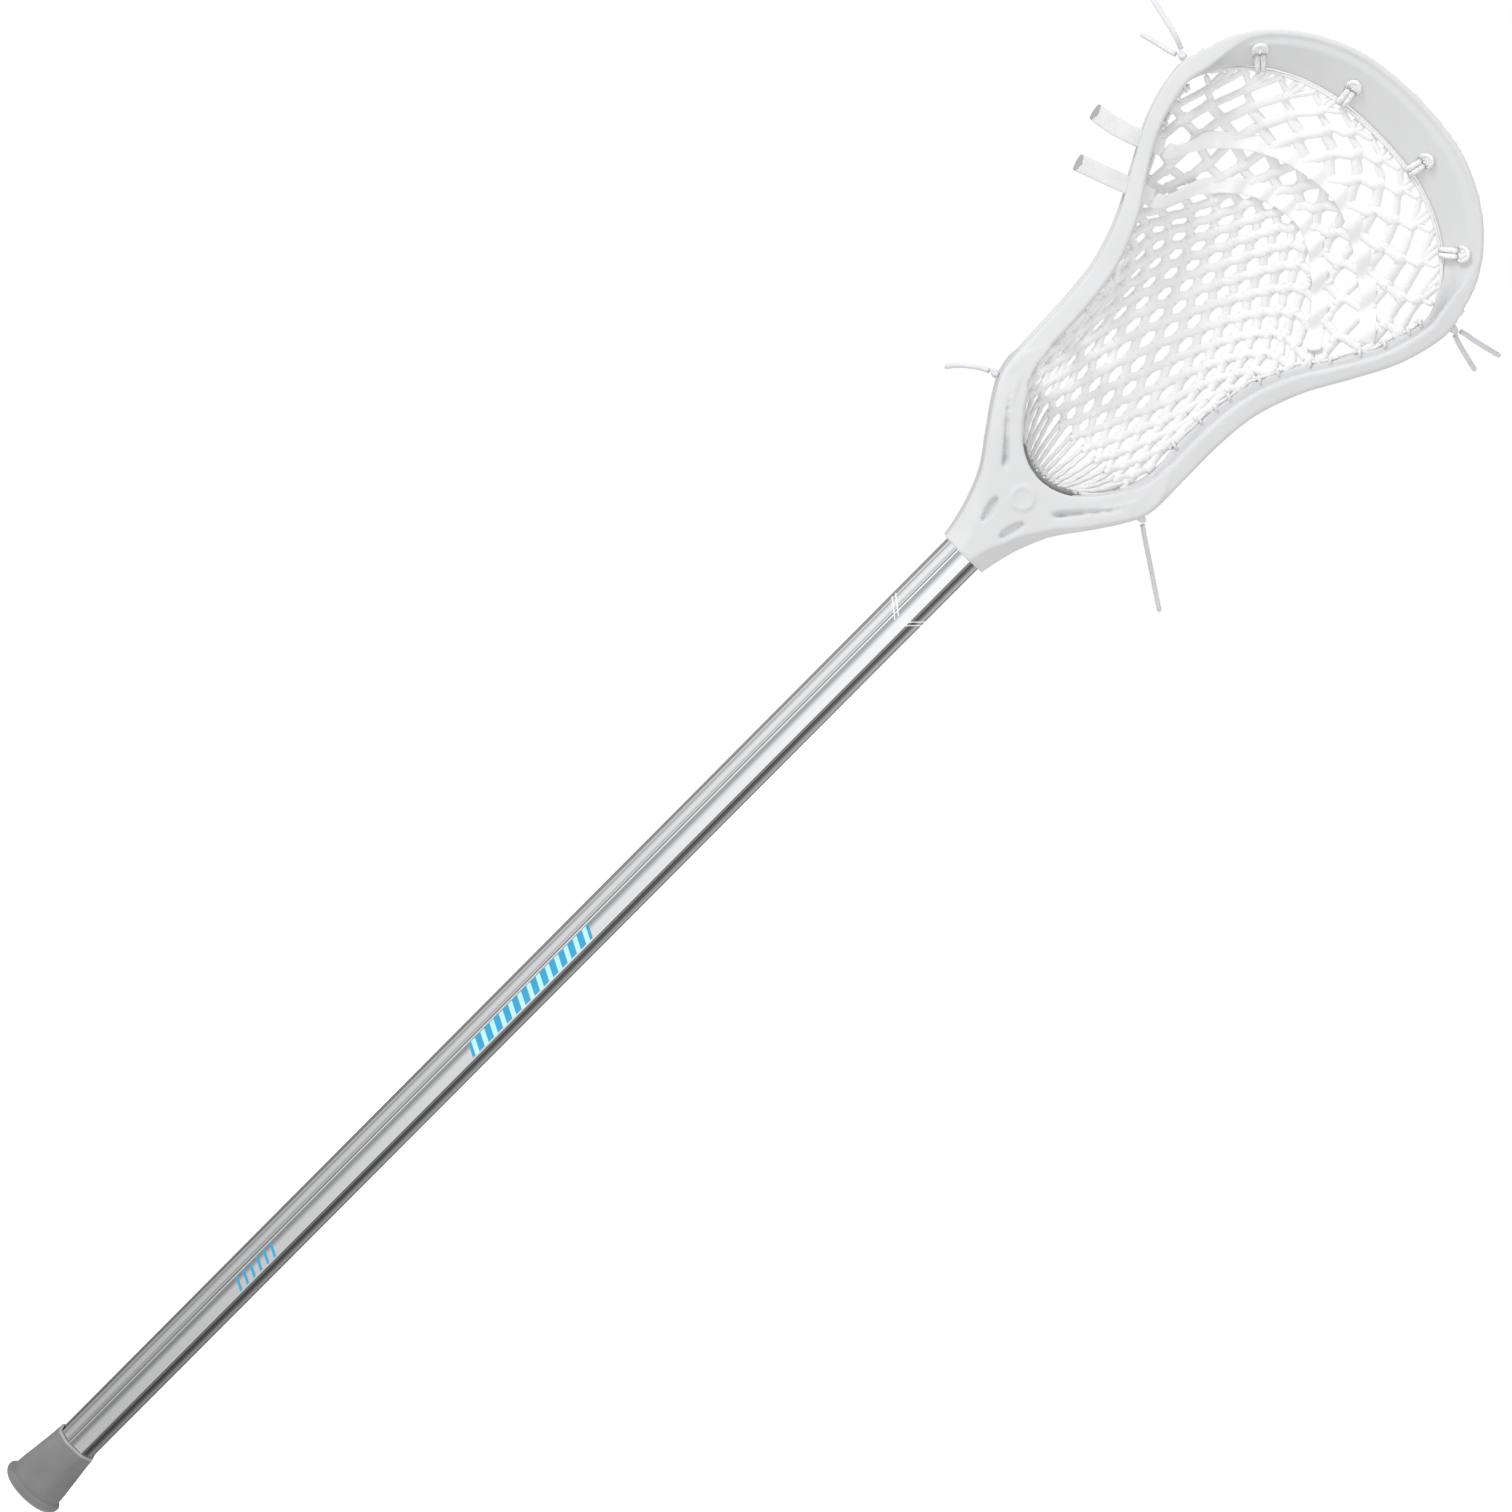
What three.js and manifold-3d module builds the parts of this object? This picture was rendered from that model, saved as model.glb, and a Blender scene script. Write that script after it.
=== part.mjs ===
// Lacrosse stick: an aluminium shaft with a moulded, strung head on top and a
// rubber cap on the butt. Millimetres. The shaft stands along +Z with the butt
// at Z = 0, the open face of the head looks towards -Y, and +X is to the right.
import * as THREE from "three";
import { mergeVertices } from "three/addons/utils/BufferGeometryUtils.js";
import Module from "manifold-3d";

const wasm = await Module();
wasm.setup();

// ---- Driving dimensions ----------------------------------------------------
const GAP = 0.3; // clearance between pieces that touch

const SHAFT_LENGTH = 762; // a 30 inch attack shaft
const SHAFT_BOTTOM = 3; // its lower end, above the floor of the cap
const SHAFT_TOP = SHAFT_BOTTOM + SHAFT_LENGTH;
const SHAFT_WIDTH = 22; // across the side facets, along X
const SHAFT_DEPTH = 26.4; // across the front and back facets, along Y
const SHAFT_WALL = 1.2;
const FACET_HOLLOW = 0.5; // how far each facet is dished
const FRONT_FACET_SHARE = 0.46; // of the width
const SIDE_FACET_SHARE = 0.5; // of the depth

const CAP_LIP_Z = 40; // open end of the rubber cap
const CAP_WALL = 0.8; // at the open end, where the cap follows the shaft's facets
const CAP_WAIST_RADIUS = 15.4; // round section just above the flare
const CAP_WAIST_Z = 14;
const CAP_BEAD_RADIUS = 18;
const CAP_BEAD_Z = 5.4; // middle of the bead round the butt
const CAP_FLAT_RADIUS = 9; // flat end face

const HEAD_BOTTOM = 715; // open end of the socket
const HEAD_TOP = 1048; // lip of the scoop
const THROAT_DEPTH = 35; // front to back at the socket
const OPENING_BOTTOM = 770; // lowest point of the hoop's opening
const SCOOP_BAND = 26.5; // width of the scoop at its middle, seen from the front
const SIDE_BAND = 9.3; // where the scoop meets the side rails
const RAIL_BAND = 10.8; // side rails beside the pocket

const SCREW_Z = 735;
const SCREW_RADIUS = 2.1;
const SCREW_HEAD_RADIUS = 4;

const STRING_RADIUS = 1.2;
const TAIL_RADIUS = 1.3;
const LACE_WIDTH = 9.3;
const LACE_THICKNESS = 1.4;
const KNOT_RADIUS = 2.4;
const MESH_THICKNESS = 3;
const POCKET_SAG = 18; // deepest point of the pocket behind its edge

// ---- Shared geometry -------------------------------------------------------
const { lerp, smoothstep, clamp } = THREE.MathUtils;

// A function that runs smoothly through [position, value] pairs.
function profile(pairs) {
  return (x) => {
    if (x <= pairs[0][0]) return pairs[0][1];
    for (let i = 1; i < pairs.length; i++) {
      const [x0, y0] = pairs[i - 1];
      const [x1, y1] = pairs[i];
      if (x <= x1) return lerp(y0, y1, smoothstep(x, x0, x1));
    }
    return pairs[pairs.length - 1][1];
  };
}

function closedSolid(geometry) {
  const g = geometry.clone();
  g.deleteAttribute("normal");
  g.deleteAttribute("uv");
  const merged = mergeVertices(g, 1e-3);
  return new wasm.Manifold(
    new wasm.Mesh({
      numProp: 3,
      vertProperties: new Float32Array(merged.attributes.position.array),
      triVerts: new Uint32Array(merged.index.array),
    }),
  );
}

function geometryOf(solid) {
  const mesh = solid.getMesh();
  const g = new THREE.BufferGeometry();
  g.setAttribute("position", new THREE.BufferAttribute(mesh.vertProperties, 3));
  g.setIndex(new THREE.BufferAttribute(mesh.triVerts, 1));
  g.computeVertexNormals();
  return g;
}

// A closed body through rings of points, each ring one section of the body.
function loft(rings) {
  const n = rings[0].length;
  const positions = rings.flat().flatMap((p) => [p.x, p.y, p.z]);
  const index = [];
  for (let i = 0; i + 1 < rings.length; i++) {
    for (let j = 0; j < n; j++) {
      const a = i * n + j;
      const b = i * n + ((j + 1) % n);
      index.push(a, b, b + n, a, b + n, a + n);
    }
  }
  const caps = [
    [rings[0], 0, true],
    [rings[rings.length - 1], (rings.length - 1) * n, false],
  ];
  for (const [ring, offset, flip] of caps) {
    const u = ring[1].clone().sub(ring[0]).normalize();
    const far = ring.reduce((best, p) =>
      p.clone().sub(ring[0]).cross(u).length() > best.clone().sub(ring[0]).cross(u).length() ? p : best,
    );
    const normal = u.clone().cross(far.clone().sub(ring[0])).normalize();
    const v = normal.clone().cross(u);
    const flat = ring.map((p) => {
      const d = p.clone().sub(ring[0]);
      return new THREE.Vector2(d.dot(u), d.dot(v));
    });
    const turns = THREE.ShapeUtils.area(flat) > 0;
    for (const [a, b, c] of THREE.ShapeUtils.triangulateShape(flat, [])) {
      const sameWay = flip !== turns;
      index.push(offset + a, offset + (sameWay ? b : c), offset + (sameWay ? c : b));
    }
  }
  const g = new THREE.BufferGeometry();
  g.setAttribute("position", new THREE.Float32BufferAttribute(positions, 3));
  g.setIndex(index);
  return geometryOf(closedSolid(outward(g)));
}

// The same body with its faces pointing out.
function outward(geometry) {
  const p = geometry.attributes.position;
  const index = geometry.index.array;
  let volume = 0;
  const [a, b, c] = [new THREE.Vector3(), new THREE.Vector3(), new THREE.Vector3()];
  for (let i = 0; i < index.length; i += 3) {
    a.fromBufferAttribute(p, index[i]);
    b.fromBufferAttribute(p, index[i + 1]);
    c.fromBufferAttribute(p, index[i + 2]);
    volume += a.dot(b.cross(c));
  }
  if (volume < 0) {
    for (let i = 0; i < index.length; i += 3) {
      [index[i + 1], index[i + 2]] = [index[i + 2], index[i + 1]];
    }
  }
  return geometry;
}

// A prism with its outline in the XZ plane, from y0 (front) to y1 (back).
function prismXZ(points, y0, y1, bevel = 0) {
  const shape = new THREE.Shape(points);
  const g = new THREE.ExtrudeGeometry(shape, {
    depth: y1 - y0 - 2 * bevel,
    curveSegments: 8,
    bevelEnabled: bevel > 0,
    bevelThickness: bevel,
    bevelSize: bevel,
    bevelOffset: -bevel,
    bevelSegments: 2,
  });
  g.rotateX(Math.PI / 2);
  g.translate(0, y1 - bevel, 0);
  return closedSolid(g);
}

// A prism with its outline in the YZ plane, from x0 to x1.
function prismYZ(points, x0, x1) {
  const shape = new THREE.Shape(points.map(([y, z]) => new THREE.Vector2(y, z)));
  const g = new THREE.ExtrudeGeometry(shape, { depth: x1 - x0, bevelEnabled: false });
  g.applyMatrix4(new THREE.Matrix4().set(0, 0, 1, x0, 1, 0, 0, 0, 0, 1, 0, 0, 0, 0, 0, 1));
  return closedSolid(g);
}

function roundString(points, radius, steps, sides = 8) {
  const section = new THREE.Shape(new THREE.EllipseCurve(0, 0, radius, radius).getPoints(sides).slice(0, sides));
  const path = new THREE.CatmullRomCurve3(points.map((p) => new THREE.Vector3(...p)));
  return new THREE.ExtrudeGeometry(section, { steps, extrudePath: path, bevelEnabled: false });
}

// A flat lace along points, its width along the direction that across(i) gives.
function flatLace(points, across, steps, width = LACE_WIDTH, thickness = LACE_THICKNESS) {
  const path = new THREE.CatmullRomCurve3(points.map((p) => new THREE.Vector3(...p)));
  const rings = [];
  for (let i = 0; i <= steps; i++) {
    const t = i / steps;
    const centre = path.getPoint(t);
    const tangent = path.getTangent(t);
    const side = across(centre, t).clone().projectOnPlane(tangent).normalize();
    const up = tangent.clone().cross(side);
    const w = width / 2;
    const h = thickness / 2;
    const round = h * 0.8;
    const section = [
      [w, -h + round], [w, h - round], [w - round, h], [-w + round, h],
      [-w, h - round], [-w, -h + round], [-w + round, -h], [w - round, -h],
    ];
    rings.push(section.map(([s, u]) => centre.clone().addScaledVector(side, s).addScaledVector(up, u)));
  }
  return loft(rings);
}

// ---- Outline of the head ---------------------------------------------------
// Right half of the head's outer edge, from the throat to the middle of the scoop.
const OUTER_HALF = [
  [18.3, 737], [25, 753], [35.5, 768], [46.5, 784], [53.4, 798], [54.8, 822], [55.4, 849],
  [58.4, 873], [67.2, 898], [81, 922.5], [93.4, 947], [99.3, 974], [96.6, 989],
  [88.6, 1007], [76, 1022], [59, 1034.5], [38, 1043.5], [19, 1047],
];
const outline = new THREE.CatmullRomCurve3(
  [
    ...OUTER_HALF.map(([x, z]) => new THREE.Vector3(x, 0, z)),
    new THREE.Vector3(0, 0, HEAD_TOP),
    ...OUTER_HALF.map(([x, z]) => new THREE.Vector3(-x, 0, z)).reverse(),
  ],
  false,
  "centripetal",
);

// Positions of the front and back edges of the hoop, by height on the outer edge.
// The rails drop back from the socket and come forward again to the scoop.
const frontY = profile([[762, -17.5], [880, -1], [930, 1], [1000, -3], [HEAD_TOP, -9]]);
const backY = profile([[762, 17.5], [865, 36], [890, 36], [950, 27.5], [1006, 13], [HEAD_TOP, 9]]);
const railBand = profile([[880, RAIL_BAND], [930, 8.2], [968, SIDE_BAND]]);
function bandWidth(z) {
  if (z < 970) return railBand(z);
  return lerp(SIDE_BAND, SCOOP_BAND, (z - 970) / (HEAD_TOP - 970));
}
const scoopShare = (z) => smoothstep(z, 972, 1018);

// Point at u inwards from the outer edge, at depth y, in the plane of station t.
function hoopPoint(t, u, y) {
  const p = outline.getPointAt(t);
  const tangent = outline.getTangentAt(t);
  const inward = new THREE.Vector3(-tangent.z, 0, tangent.x);
  return new THREE.Vector3(p.x + inward.x * u, y, p.z + inward.z * u);
}

// Station on the right half whose outer edge is at height z.
function stationAt(z) {
  let low = 0;
  let high = 0.5;
  for (let i = 0; i < 40; i++) {
    const mid = (low + high) / 2;
    if (outline.getPointAt(mid).z < z) low = mid;
    else high = mid;
  }
  return (low + high) / 2;
}

// Section of the hoop at height z, as [inward, depth] points.
function hoopSection(z) {
  const k = scoopShare(z);
  const band = bandWidth(z);
  const front = frontY(z);
  const back = backY(z);
  const frontWidth = lerp(band, 3.6, k);
  const frontHeight = lerp(6.5, 2, k);
  const backOffset = lerp(1, band - 5.5, k);
  const backWidth = lerp(band - 2.5, 5.5, k);
  const backHeight = lerp(6.5, 4, k);
  const webFront = lerp(2.4, 0.5, k);
  const webBack = lerp(2.4, band - 8, k);
  const web = lerp(3.4, 7.5, k);
  const c = lerp(1.2, 0.9, k);
  const f = front + frontHeight;
  const b = back - backHeight;
  return [
    [0, front + c], [0, f], [webFront, f + 0.8], [webBack, b - 0.8], [backOffset, b],
    [backOffset, back - c], [backOffset + c, back], [backOffset + backWidth - c, back],
    [backOffset + backWidth, back - c], [backOffset + backWidth, b], [webBack + web, b - 0.8],
    [webFront + web, f + 0.8], [frontWidth, f], [frontWidth, front + c],
    [frontWidth - c, front], [c, front],
  ];
}

// ---- Head ------------------------------------------------------------------
function hoop() {
  const stations = 76;
  const rings = [];
  for (let i = 0; i <= stations; i++) {
    const t = i / stations;
    const z = outline.getPointAt(t).z;
    rings.push(hoopSection(z).map(([u, y]) => hoopPoint(t, u, y)));
  }
  return closedSolid(loft(rings));
}

const mirrored = (half) => [...half, ...half.map(([x, z]) => [-x, z]).reverse()];
const vectors = (points) => points.map(([x, z]) => new THREE.Vector2(x, z));

// Lower edge of the hoop's opening, from the right wall to the middle.
const OPENING_HALF = [
  [44, 826], [42, 809], [34.5, 793.5], [26.5, 783.5], [18.5, 776], [9.5, 771.5], [0, OPENING_BOTTOM],
];

function throat() {
  const silhouette = mirrored([
    [13.4, HEAD_BOTTOM], [15, 724], [18.3, 737], [25, 753], [35.5, 768], [46.5, 784], [52.6, 796],
    [54, 808], [47, 824],
  ]);
  let body = prismXZ(vectors(silhouette), -THROAT_DEPTH / 2, THROAT_DEPTH / 2 + 14, 2.5);
  // Side profile: the front and back faces slope back towards the rails.
  const faces = [];
  for (let z = HEAD_BOTTOM - 1; z <= 832; z += z < 758 ? 43 : 6) faces.push([frontY(z) + 0.01, z]);
  for (let z = 832; z >= 752; z -= 6) faces.push([backY(z) - 0.01, z]);
  faces.push([THROAT_DEPTH / 2 - 0.01, HEAD_BOTTOM - 1]);
  body = body.intersect(prismYZ(faces, -70, 70));
  const opening = [...OPENING_HALF, ...OPENING_HALF.slice(0, -1).map(([x, z]) => [-x, z]).reverse()];
  body = body.subtract(prismXZ(vectors(opening), -30, 30));
  return body;
}

function octagon(width, depth, hollow, z0, z1) {
  const w = width / 2;
  const d = depth / 2;
  const flatX = w * FRONT_FACET_SHARE;
  const flatY = d * SIDE_FACET_SHARE;
  const corners = [
    [w, -flatY], [w, flatY], [flatX, d], [-flatX, d], [-w, flatY], [-w, -flatY], [-flatX, -d], [flatX, -d],
  ];
  const points = [];
  corners.forEach(([x, y], i) => {
    const [nx, ny] = corners[(i + 1) % corners.length];
    points.push(new THREE.Vector2(x, y));
    if (hollow === 0) return;
    const length = Math.hypot(nx - x, ny - y);
    const inward = new THREE.Vector2(-(ny - y) / length, (nx - x) / length);
    for (const s of [0.3, 0.7]) {
      points.push(new THREE.Vector2(lerp(x, nx, s) + inward.x * hollow, lerp(y, ny, s) + inward.y * hollow));
    }
  });
  const g = new THREE.ExtrudeGeometry(new THREE.Shape(points), { depth: z1 - z0, bevelEnabled: false });
  g.translate(0, 0, z0);
  return closedSolid(g);
}

// Grooves between the middle of the throat and its two rails, and the slots over the shaft.
function throatCuts() {
  const cuts = [];
  for (const side of [1, -1]) {
    const groove = [
      [39.5, 787], [36.5, 781], [29.8, 770], [22.3, 758.5], [16, 748.5], [13.8, 752], [14, 762.5],
      [19.5, 769], [29.8, 779.5],
    ].map(([x, z]) => [x * side, z]);
    cuts.push(prismXZ(vectors(groove), -30, -8));
    const slot = new THREE.EllipseCurve(side * 8.1, 742.5, 2.7, 8.8, 0, 2 * Math.PI, false, -side * 0.26);
    cuts.push(prismXZ(slot.getPoints(16).slice(0, 16), -30, -10));
  }
  return cuts;
}

// Openings through the side walls between the front and back rails, on the right
// and left, as [low, high] heights on the outer edge.
const WINDOWS = [[812, 838], [846, 872], [880, 897], [903, 920], [925, 948], [955, 970]];
function windowCuts() {
  const cuts = [];
  for (const [low, high] of WINDOWS) {
    for (const side of [1, -1]) {
      const tLow = stationAt(low);
      const tHigh = stationAt(high);
      const corner = (t, u) => {
        const p = hoopPoint(t, u, 0);
        return [p.x * side, p.z];
      };
      const tMid = (tLow + tHigh) / 2;
      const mid = (low + high) / 2;
      const shape = [
        corner(tLow, -4), corner(tMid, -4), corner(tHigh, -4),
        corner(tHigh, 14), corner(tMid, 14), corner(tLow, 14),
      ];
      const front = frontY(mid) + 9;
      const back = Math.min(backY(low), backY(high)) - 9;
      cuts.push(prismXZ(vectors(shape), front, back));
    }
  }
  return cuts;
}

// The four holes near the inner edge of the scoop that the top string passes through.
const SCOOP_HOLES = [-68.4, -26.5, 26.5, 68.4];
const HOLE_RADIUS = 3;
function scoopHole(x) {
  const t = stationForX(x);
  const z = outline.getPointAt(t).z;
  return { t, z, u: bandWidth(z) - 7 };
}
// Station whose point, 19 inwards, has the given x on the scoop.
function stationForX(x) {
  let low = 0.3;
  let high = 0.7;
  for (let i = 0; i < 40; i++) {
    const mid = (low + high) / 2;
    if (hoopPoint(mid, 19, 0).x > x) low = mid;
    else high = mid;
  }
  return (low + high) / 2;
}
function scoopHoleCuts() {
  return SCOOP_HOLES.map((x) => {
    const { t, u } = scoopHole(x);
    const p = hoopPoint(t, u, 0);
    const circle = new THREE.EllipseCurve(p.x, p.z, HOLE_RADIUS, HOLE_RADIUS).getPoints(12).slice(0, 12);
    return prismXZ(circle, -40, 30);
  });
}

// Distance from the axis to the flat-sided outline, in the direction of angle.
function octagonRadius(angle, width, depth) {
  const w = width / 2;
  const d = depth / 2;
  const bevelX = w * (1 - FRONT_FACET_SHARE);
  const bevelY = d * (1 - SIDE_FACET_SHARE);
  const c = Math.abs(Math.cos(angle));
  const s = Math.abs(Math.sin(angle));
  const bevel = (bevelY * w + bevelX * d * SIDE_FACET_SHARE) / (bevelY * c + bevelX * s);
  return Math.min(w / Math.max(c, 1e-9), d / Math.max(s, 1e-9), bevel);
}

function cylinderY(radius, y0, y1, x, z, segments = 20) {
  const g = new THREE.CylinderGeometry(radius, radius, y1 - y0, segments);
  g.translate(x, (y0 + y1) / 2, z);
  return closedSolid(g);
}

function head() {
  let body = hoop().add(throat());
  body = body.add(cylinderY(6.4, -THROAT_DEPTH / 2 - 0.8, 0, 0, 758, 24)); // plain round boss
  body = body.add(cylinderY(6.2, 10, THROAT_DEPTH / 2 + 1.4, 0, SCREW_Z, 20)); // screw boss
  const half = THROAT_DEPTH / 2;
  const cuts = [
    ...throatCuts(),
    ...windowCuts(),
    ...scoopHoleCuts(),
    octagon(SHAFT_WIDTH + 2 * GAP, SHAFT_DEPTH + 2 * GAP, 0, HEAD_BOTTOM - 5, SHAFT_TOP + GAP),
    cylinderY(SCREW_RADIUS + GAP, 8, half + 5, 0, SCREW_Z),
    cylinderY(SCREW_HEAD_RADIUS + GAP, half - 1.2, half + 5, 0, SCREW_Z),
    cylinderY(5, -half - 3, -half - 0.2, 0, 758, 24), // dished face of the boss
  ];
  for (const cut of cuts) body = body.subtract(cut);
  return geometryOf(body);
}

// ---- Shaft, screw and cap --------------------------------------------------
function shaft() {
  const wall = 2 * SHAFT_WALL;
  const outer = octagon(SHAFT_WIDTH, SHAFT_DEPTH, FACET_HOLLOW, SHAFT_BOTTOM, SHAFT_TOP);
  const inner = octagon(SHAFT_WIDTH - wall, SHAFT_DEPTH - wall, FACET_HOLLOW, SHAFT_BOTTOM - 5, SHAFT_TOP + 5);
  const hole = cylinderY(SCREW_RADIUS + GAP, 5, 25, 0, SCREW_Z);
  return geometryOf(outer.subtract(inner).subtract(hole));
}

function headScrew() {
  const half = THROAT_DEPTH / 2;
  const profilePoints = [
    [0, 4], [SCREW_RADIUS - 0.7, 4.6], [SCREW_RADIUS, 6], [SCREW_RADIUS, half - 1.2 + GAP],
    [SCREW_HEAD_RADIUS, half - 1.2 + GAP], [SCREW_HEAD_RADIUS, half + 0.4], [3, half + 1.5], [0, half + 1.8],
  ].map(([r, y]) => new THREE.Vector2(r, y));
  const body = closedSolid(new THREE.LatheGeometry(profilePoints, 16)); // axis along Y
  const slot = new THREE.BoxGeometry(1.2, 1.6, 9);
  slot.translate(0, half + 1.6, 0);
  const g = geometryOf(body.subtract(closedSolid(slot)));
  g.translate(0, 0, SCREW_Z);
  return g;
}

function endCap() {
  const outside = new THREE.SplineCurve(
    [
      [CAP_FLAT_RADIUS, 0], [CAP_BEAD_RADIUS - 3, 1], [CAP_BEAD_RADIUS - 0.6, 3.2], [CAP_BEAD_RADIUS, CAP_BEAD_Z],
      [CAP_BEAD_RADIUS - 0.6, 7.8], [CAP_BEAD_RADIUS - 1.8, 9.6], [CAP_WAIST_RADIUS, CAP_WAIST_Z],
    ].map(([r, z]) => new THREE.Vector2(r, z)),
  ).getPoints(14);
  const wall = [];
  for (let i = 1; i <= 8; i++) {
    wall.push(new THREE.Vector2(CAP_WAIST_RADIUS, lerp(CAP_WAIST_Z, CAP_LIP_Z - 0.7, i / 8)));
  }
  const profilePoints = [
    new THREE.Vector2(0, 0),
    ...outside,
    ...wall,
    new THREE.Vector2(CAP_WAIST_RADIUS - 0.4, CAP_LIP_Z),
    new THREE.Vector2(0, CAP_LIP_Z),
  ];
  const g = new THREE.LatheGeometry(profilePoints, 56);
  g.rotateX(Math.PI / 2);
  // The round section above the flare turns into the shaft's outline at the lip.
  const p = g.attributes.position;
  for (let i = 0; i < p.count; i++) {
    const share = Math.max(0, (p.getZ(i) - CAP_WAIST_Z) / (CAP_LIP_Z - CAP_WAIST_Z));
    const lip = octagonRadius(Math.atan2(p.getY(i), p.getX(i)), SHAFT_WIDTH, SHAFT_DEPTH) + GAP + CAP_WALL;
    const scale = lerp(1, lip / CAP_WAIST_RADIUS, share);
    p.setX(i, p.getX(i) * scale);
    p.setY(i, p.getY(i) * scale);
  }
  const socket = octagon(SHAFT_WIDTH + 2 * GAP, SHAFT_DEPTH + 2 * GAP, 0, SHAFT_BOTTOM - GAP, CAP_LIP_Z + 5);
  return geometryOf(closedSolid(g).subtract(socket));
}

// ---- Strung pocket ---------------------------------------------------------
// Half width, height and depth of the mesh's edge on the right, from the throat up.
const MESH_LOW_EDGE = [[19, 786.5, 12.5], [30, 797.5, 17], [37.3, 810, 22.5]];
function meshEdge() {
  const edge = MESH_LOW_EDGE.map(([x, z, y]) => new THREE.Vector3(x, y, z));
  for (let z = 826; z < HEAD_TOP - 1; z += z < 1000 ? 12 : 5.5) {
    const t = stationAt(z);
    const scoop = scoopShare(z);
    edge.push(hoopPoint(t, bandWidth(z) + lerp(2.8, 3.9, scoop), backY(z) - lerp(3.6, 2.4, scoop)));
  }
  return edge;
}
const EDGE = new THREE.CatmullRomCurve3(meshEdge(), false, "centripetal");
const sagAt = profile([[786, 0], [870, POCKET_SAG], [900, POCKET_SAG], [975, 8], [1016, 1]]);

// Depth of the middle surface of the mesh at height z, at a share s of its half width.
function edgeAt(z) {
  let low = 0;
  let high = 1;
  for (let i = 0; i < 40; i++) {
    const mid = (low + high) / 2;
    if (EDGE.getPoint(mid).z < z) low = mid;
    else high = mid;
  }
  return EDGE.getPoint((low + high) / 2);
}
function meshDepth(x, z) {
  const edge = edgeAt(z);
  const share = clamp(Math.abs(x) / edge.x, 0, 1);
  return edge.y + sagAt(z) * Math.pow(1 - share * share, 0.8);
}

function meshPocket() {
  const rows = 20;
  const columns = 12;
  const rings = [];
  const top = EDGE.getPoint(1).z;
  const bottom = EDGE.getPoint(0).z;
  for (let i = 0; i <= rows; i++) {
    const z = lerp(bottom, top, Math.sin((i / rows) * Math.PI * 0.5));
    const half = edgeAt(z).x;
    const ring = [];
    for (let j = 0; j <= columns; j++) {
      const x = lerp(-half, half, j / columns);
      ring.push(new THREE.Vector3(x, meshDepth(x, z) - MESH_THICKNESS / 2, z));
    }
    for (let j = columns; j >= 0; j--) {
      const x = lerp(-half, half, j / columns);
      ring.push(new THREE.Vector3(x, meshDepth(x, z) + MESH_THICKNESS / 2, z));
    }
    rings.push(ring);
  }
  return loft(rings);
}

// Shooting laces: flat laces across the upper pocket, arched towards the scoop.
function shootingLace(halfSpan, endZ, apexZ) {
  const points = [];
  for (let i = 0; i <= 12; i++) {
    const x = lerp(-halfSpan, halfSpan, i / 12);
    const z = apexZ - (apexZ - endZ) * (x / halfSpan) ** 2;
    const lift = 0.7 + 1.6 * (x / halfSpan) ** 4; // clear of the mesh where it turns up to the rail
    points.push([x, meshDepth(x, z) - MESH_THICKNESS / 2 - GAP - LACE_THICKNESS / 2 - lift, z]);
  }
  const across = (p) => {
    const d = 1;
    const slope = new THREE.Vector3(0, meshDepth(p.x, p.z + d) - meshDepth(p.x, p.z - d), 2 * d);
    return slope.normalize();
  };
  return flatLace(points, across, 28, LACE_WIDTH - 1.5);
}

// A string that follows the rail just outside the mesh's edge, between two heights.
function sidewallString(side) {
  const points = [];
  for (let z = 829; z <= 970; z += 9.4) {
    const t = stationAt(z);
    const p = hoopPoint(t, bandWidth(z) + 0.8, backY(z) - 3.6);
    points.push([side * p.x, p.y, p.z]);
  }
  return roundString(points, STRING_RADIUS, 40);
}

// The top string follows the scoop's inner edge, with a loop through each hole.
function topString() {
  const run = [];
  const count = 26;
  const start = stationAt(986);
  for (let i = 0; i <= count; i++) {
    const t = lerp(start, 1 - start, i / count);
    const z = outline.getPointAt(t).z;
    const k = scoopShare(z);
    const p = hoopPoint(t, bandWidth(z) + lerp(0.4, 1.7, k), backY(z) - lerp(3.6, 3, k));
    run.push([p.x, p.y, p.z]);
  }
  let body = closedSolid(roundString(run, STRING_RADIUS, 42));
  for (const x of SCOOP_HOLES) {
    const { t, z, u } = scoopHole(x);
    const ring = new THREE.TorusGeometry(1, 0.2, 6, 14);
    const p = ring.attributes.position;
    const centre = new THREE.Vector2(u + 4.6, backY(z) - 4.5);
    const [alongU, alongY, tube] = [4.6, 7.2, 1];
    for (let i = 0; i < p.count; i++) {
      const angle = Math.atan2(p.getY(i), p.getX(i));
      const radial = (Math.hypot(p.getX(i), p.getY(i)) - 1) / 0.2;
      const across = p.getZ(i) / 0.2;
      const ru = centre.x + Math.cos(angle) * (alongU + radial * tube);
      const ry = centre.y + Math.sin(angle) * (alongY + radial * tube);
      const q = hoopPoint(t, ru, ry);
      const tangent = outline.getTangentAt(t);
      p.setXYZ(i, q.x + tangent.x * across * tube, q.y, q.z + tangent.z * across * tube);
    }
    body = body.add(closedSolid(outward(ring)));
  }
  return geometryOf(body);
}

// The bottom string laces the mesh's lower edge to the throat in a row of tall loops.
function bottomString() {
  const points = [
    [-36, 15, 800.5], [-29, 11.5, 793], [-21, 9, 785], [-11, 7.5, 779.5], [0, 7, 777.5],
    [11, 7.5, 779.5], [21, 9, 785], [29, 11.5, 793], [36, 15, 800.5],
  ];
  return roundString(points, STRING_RADIUS, 34);
}

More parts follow.
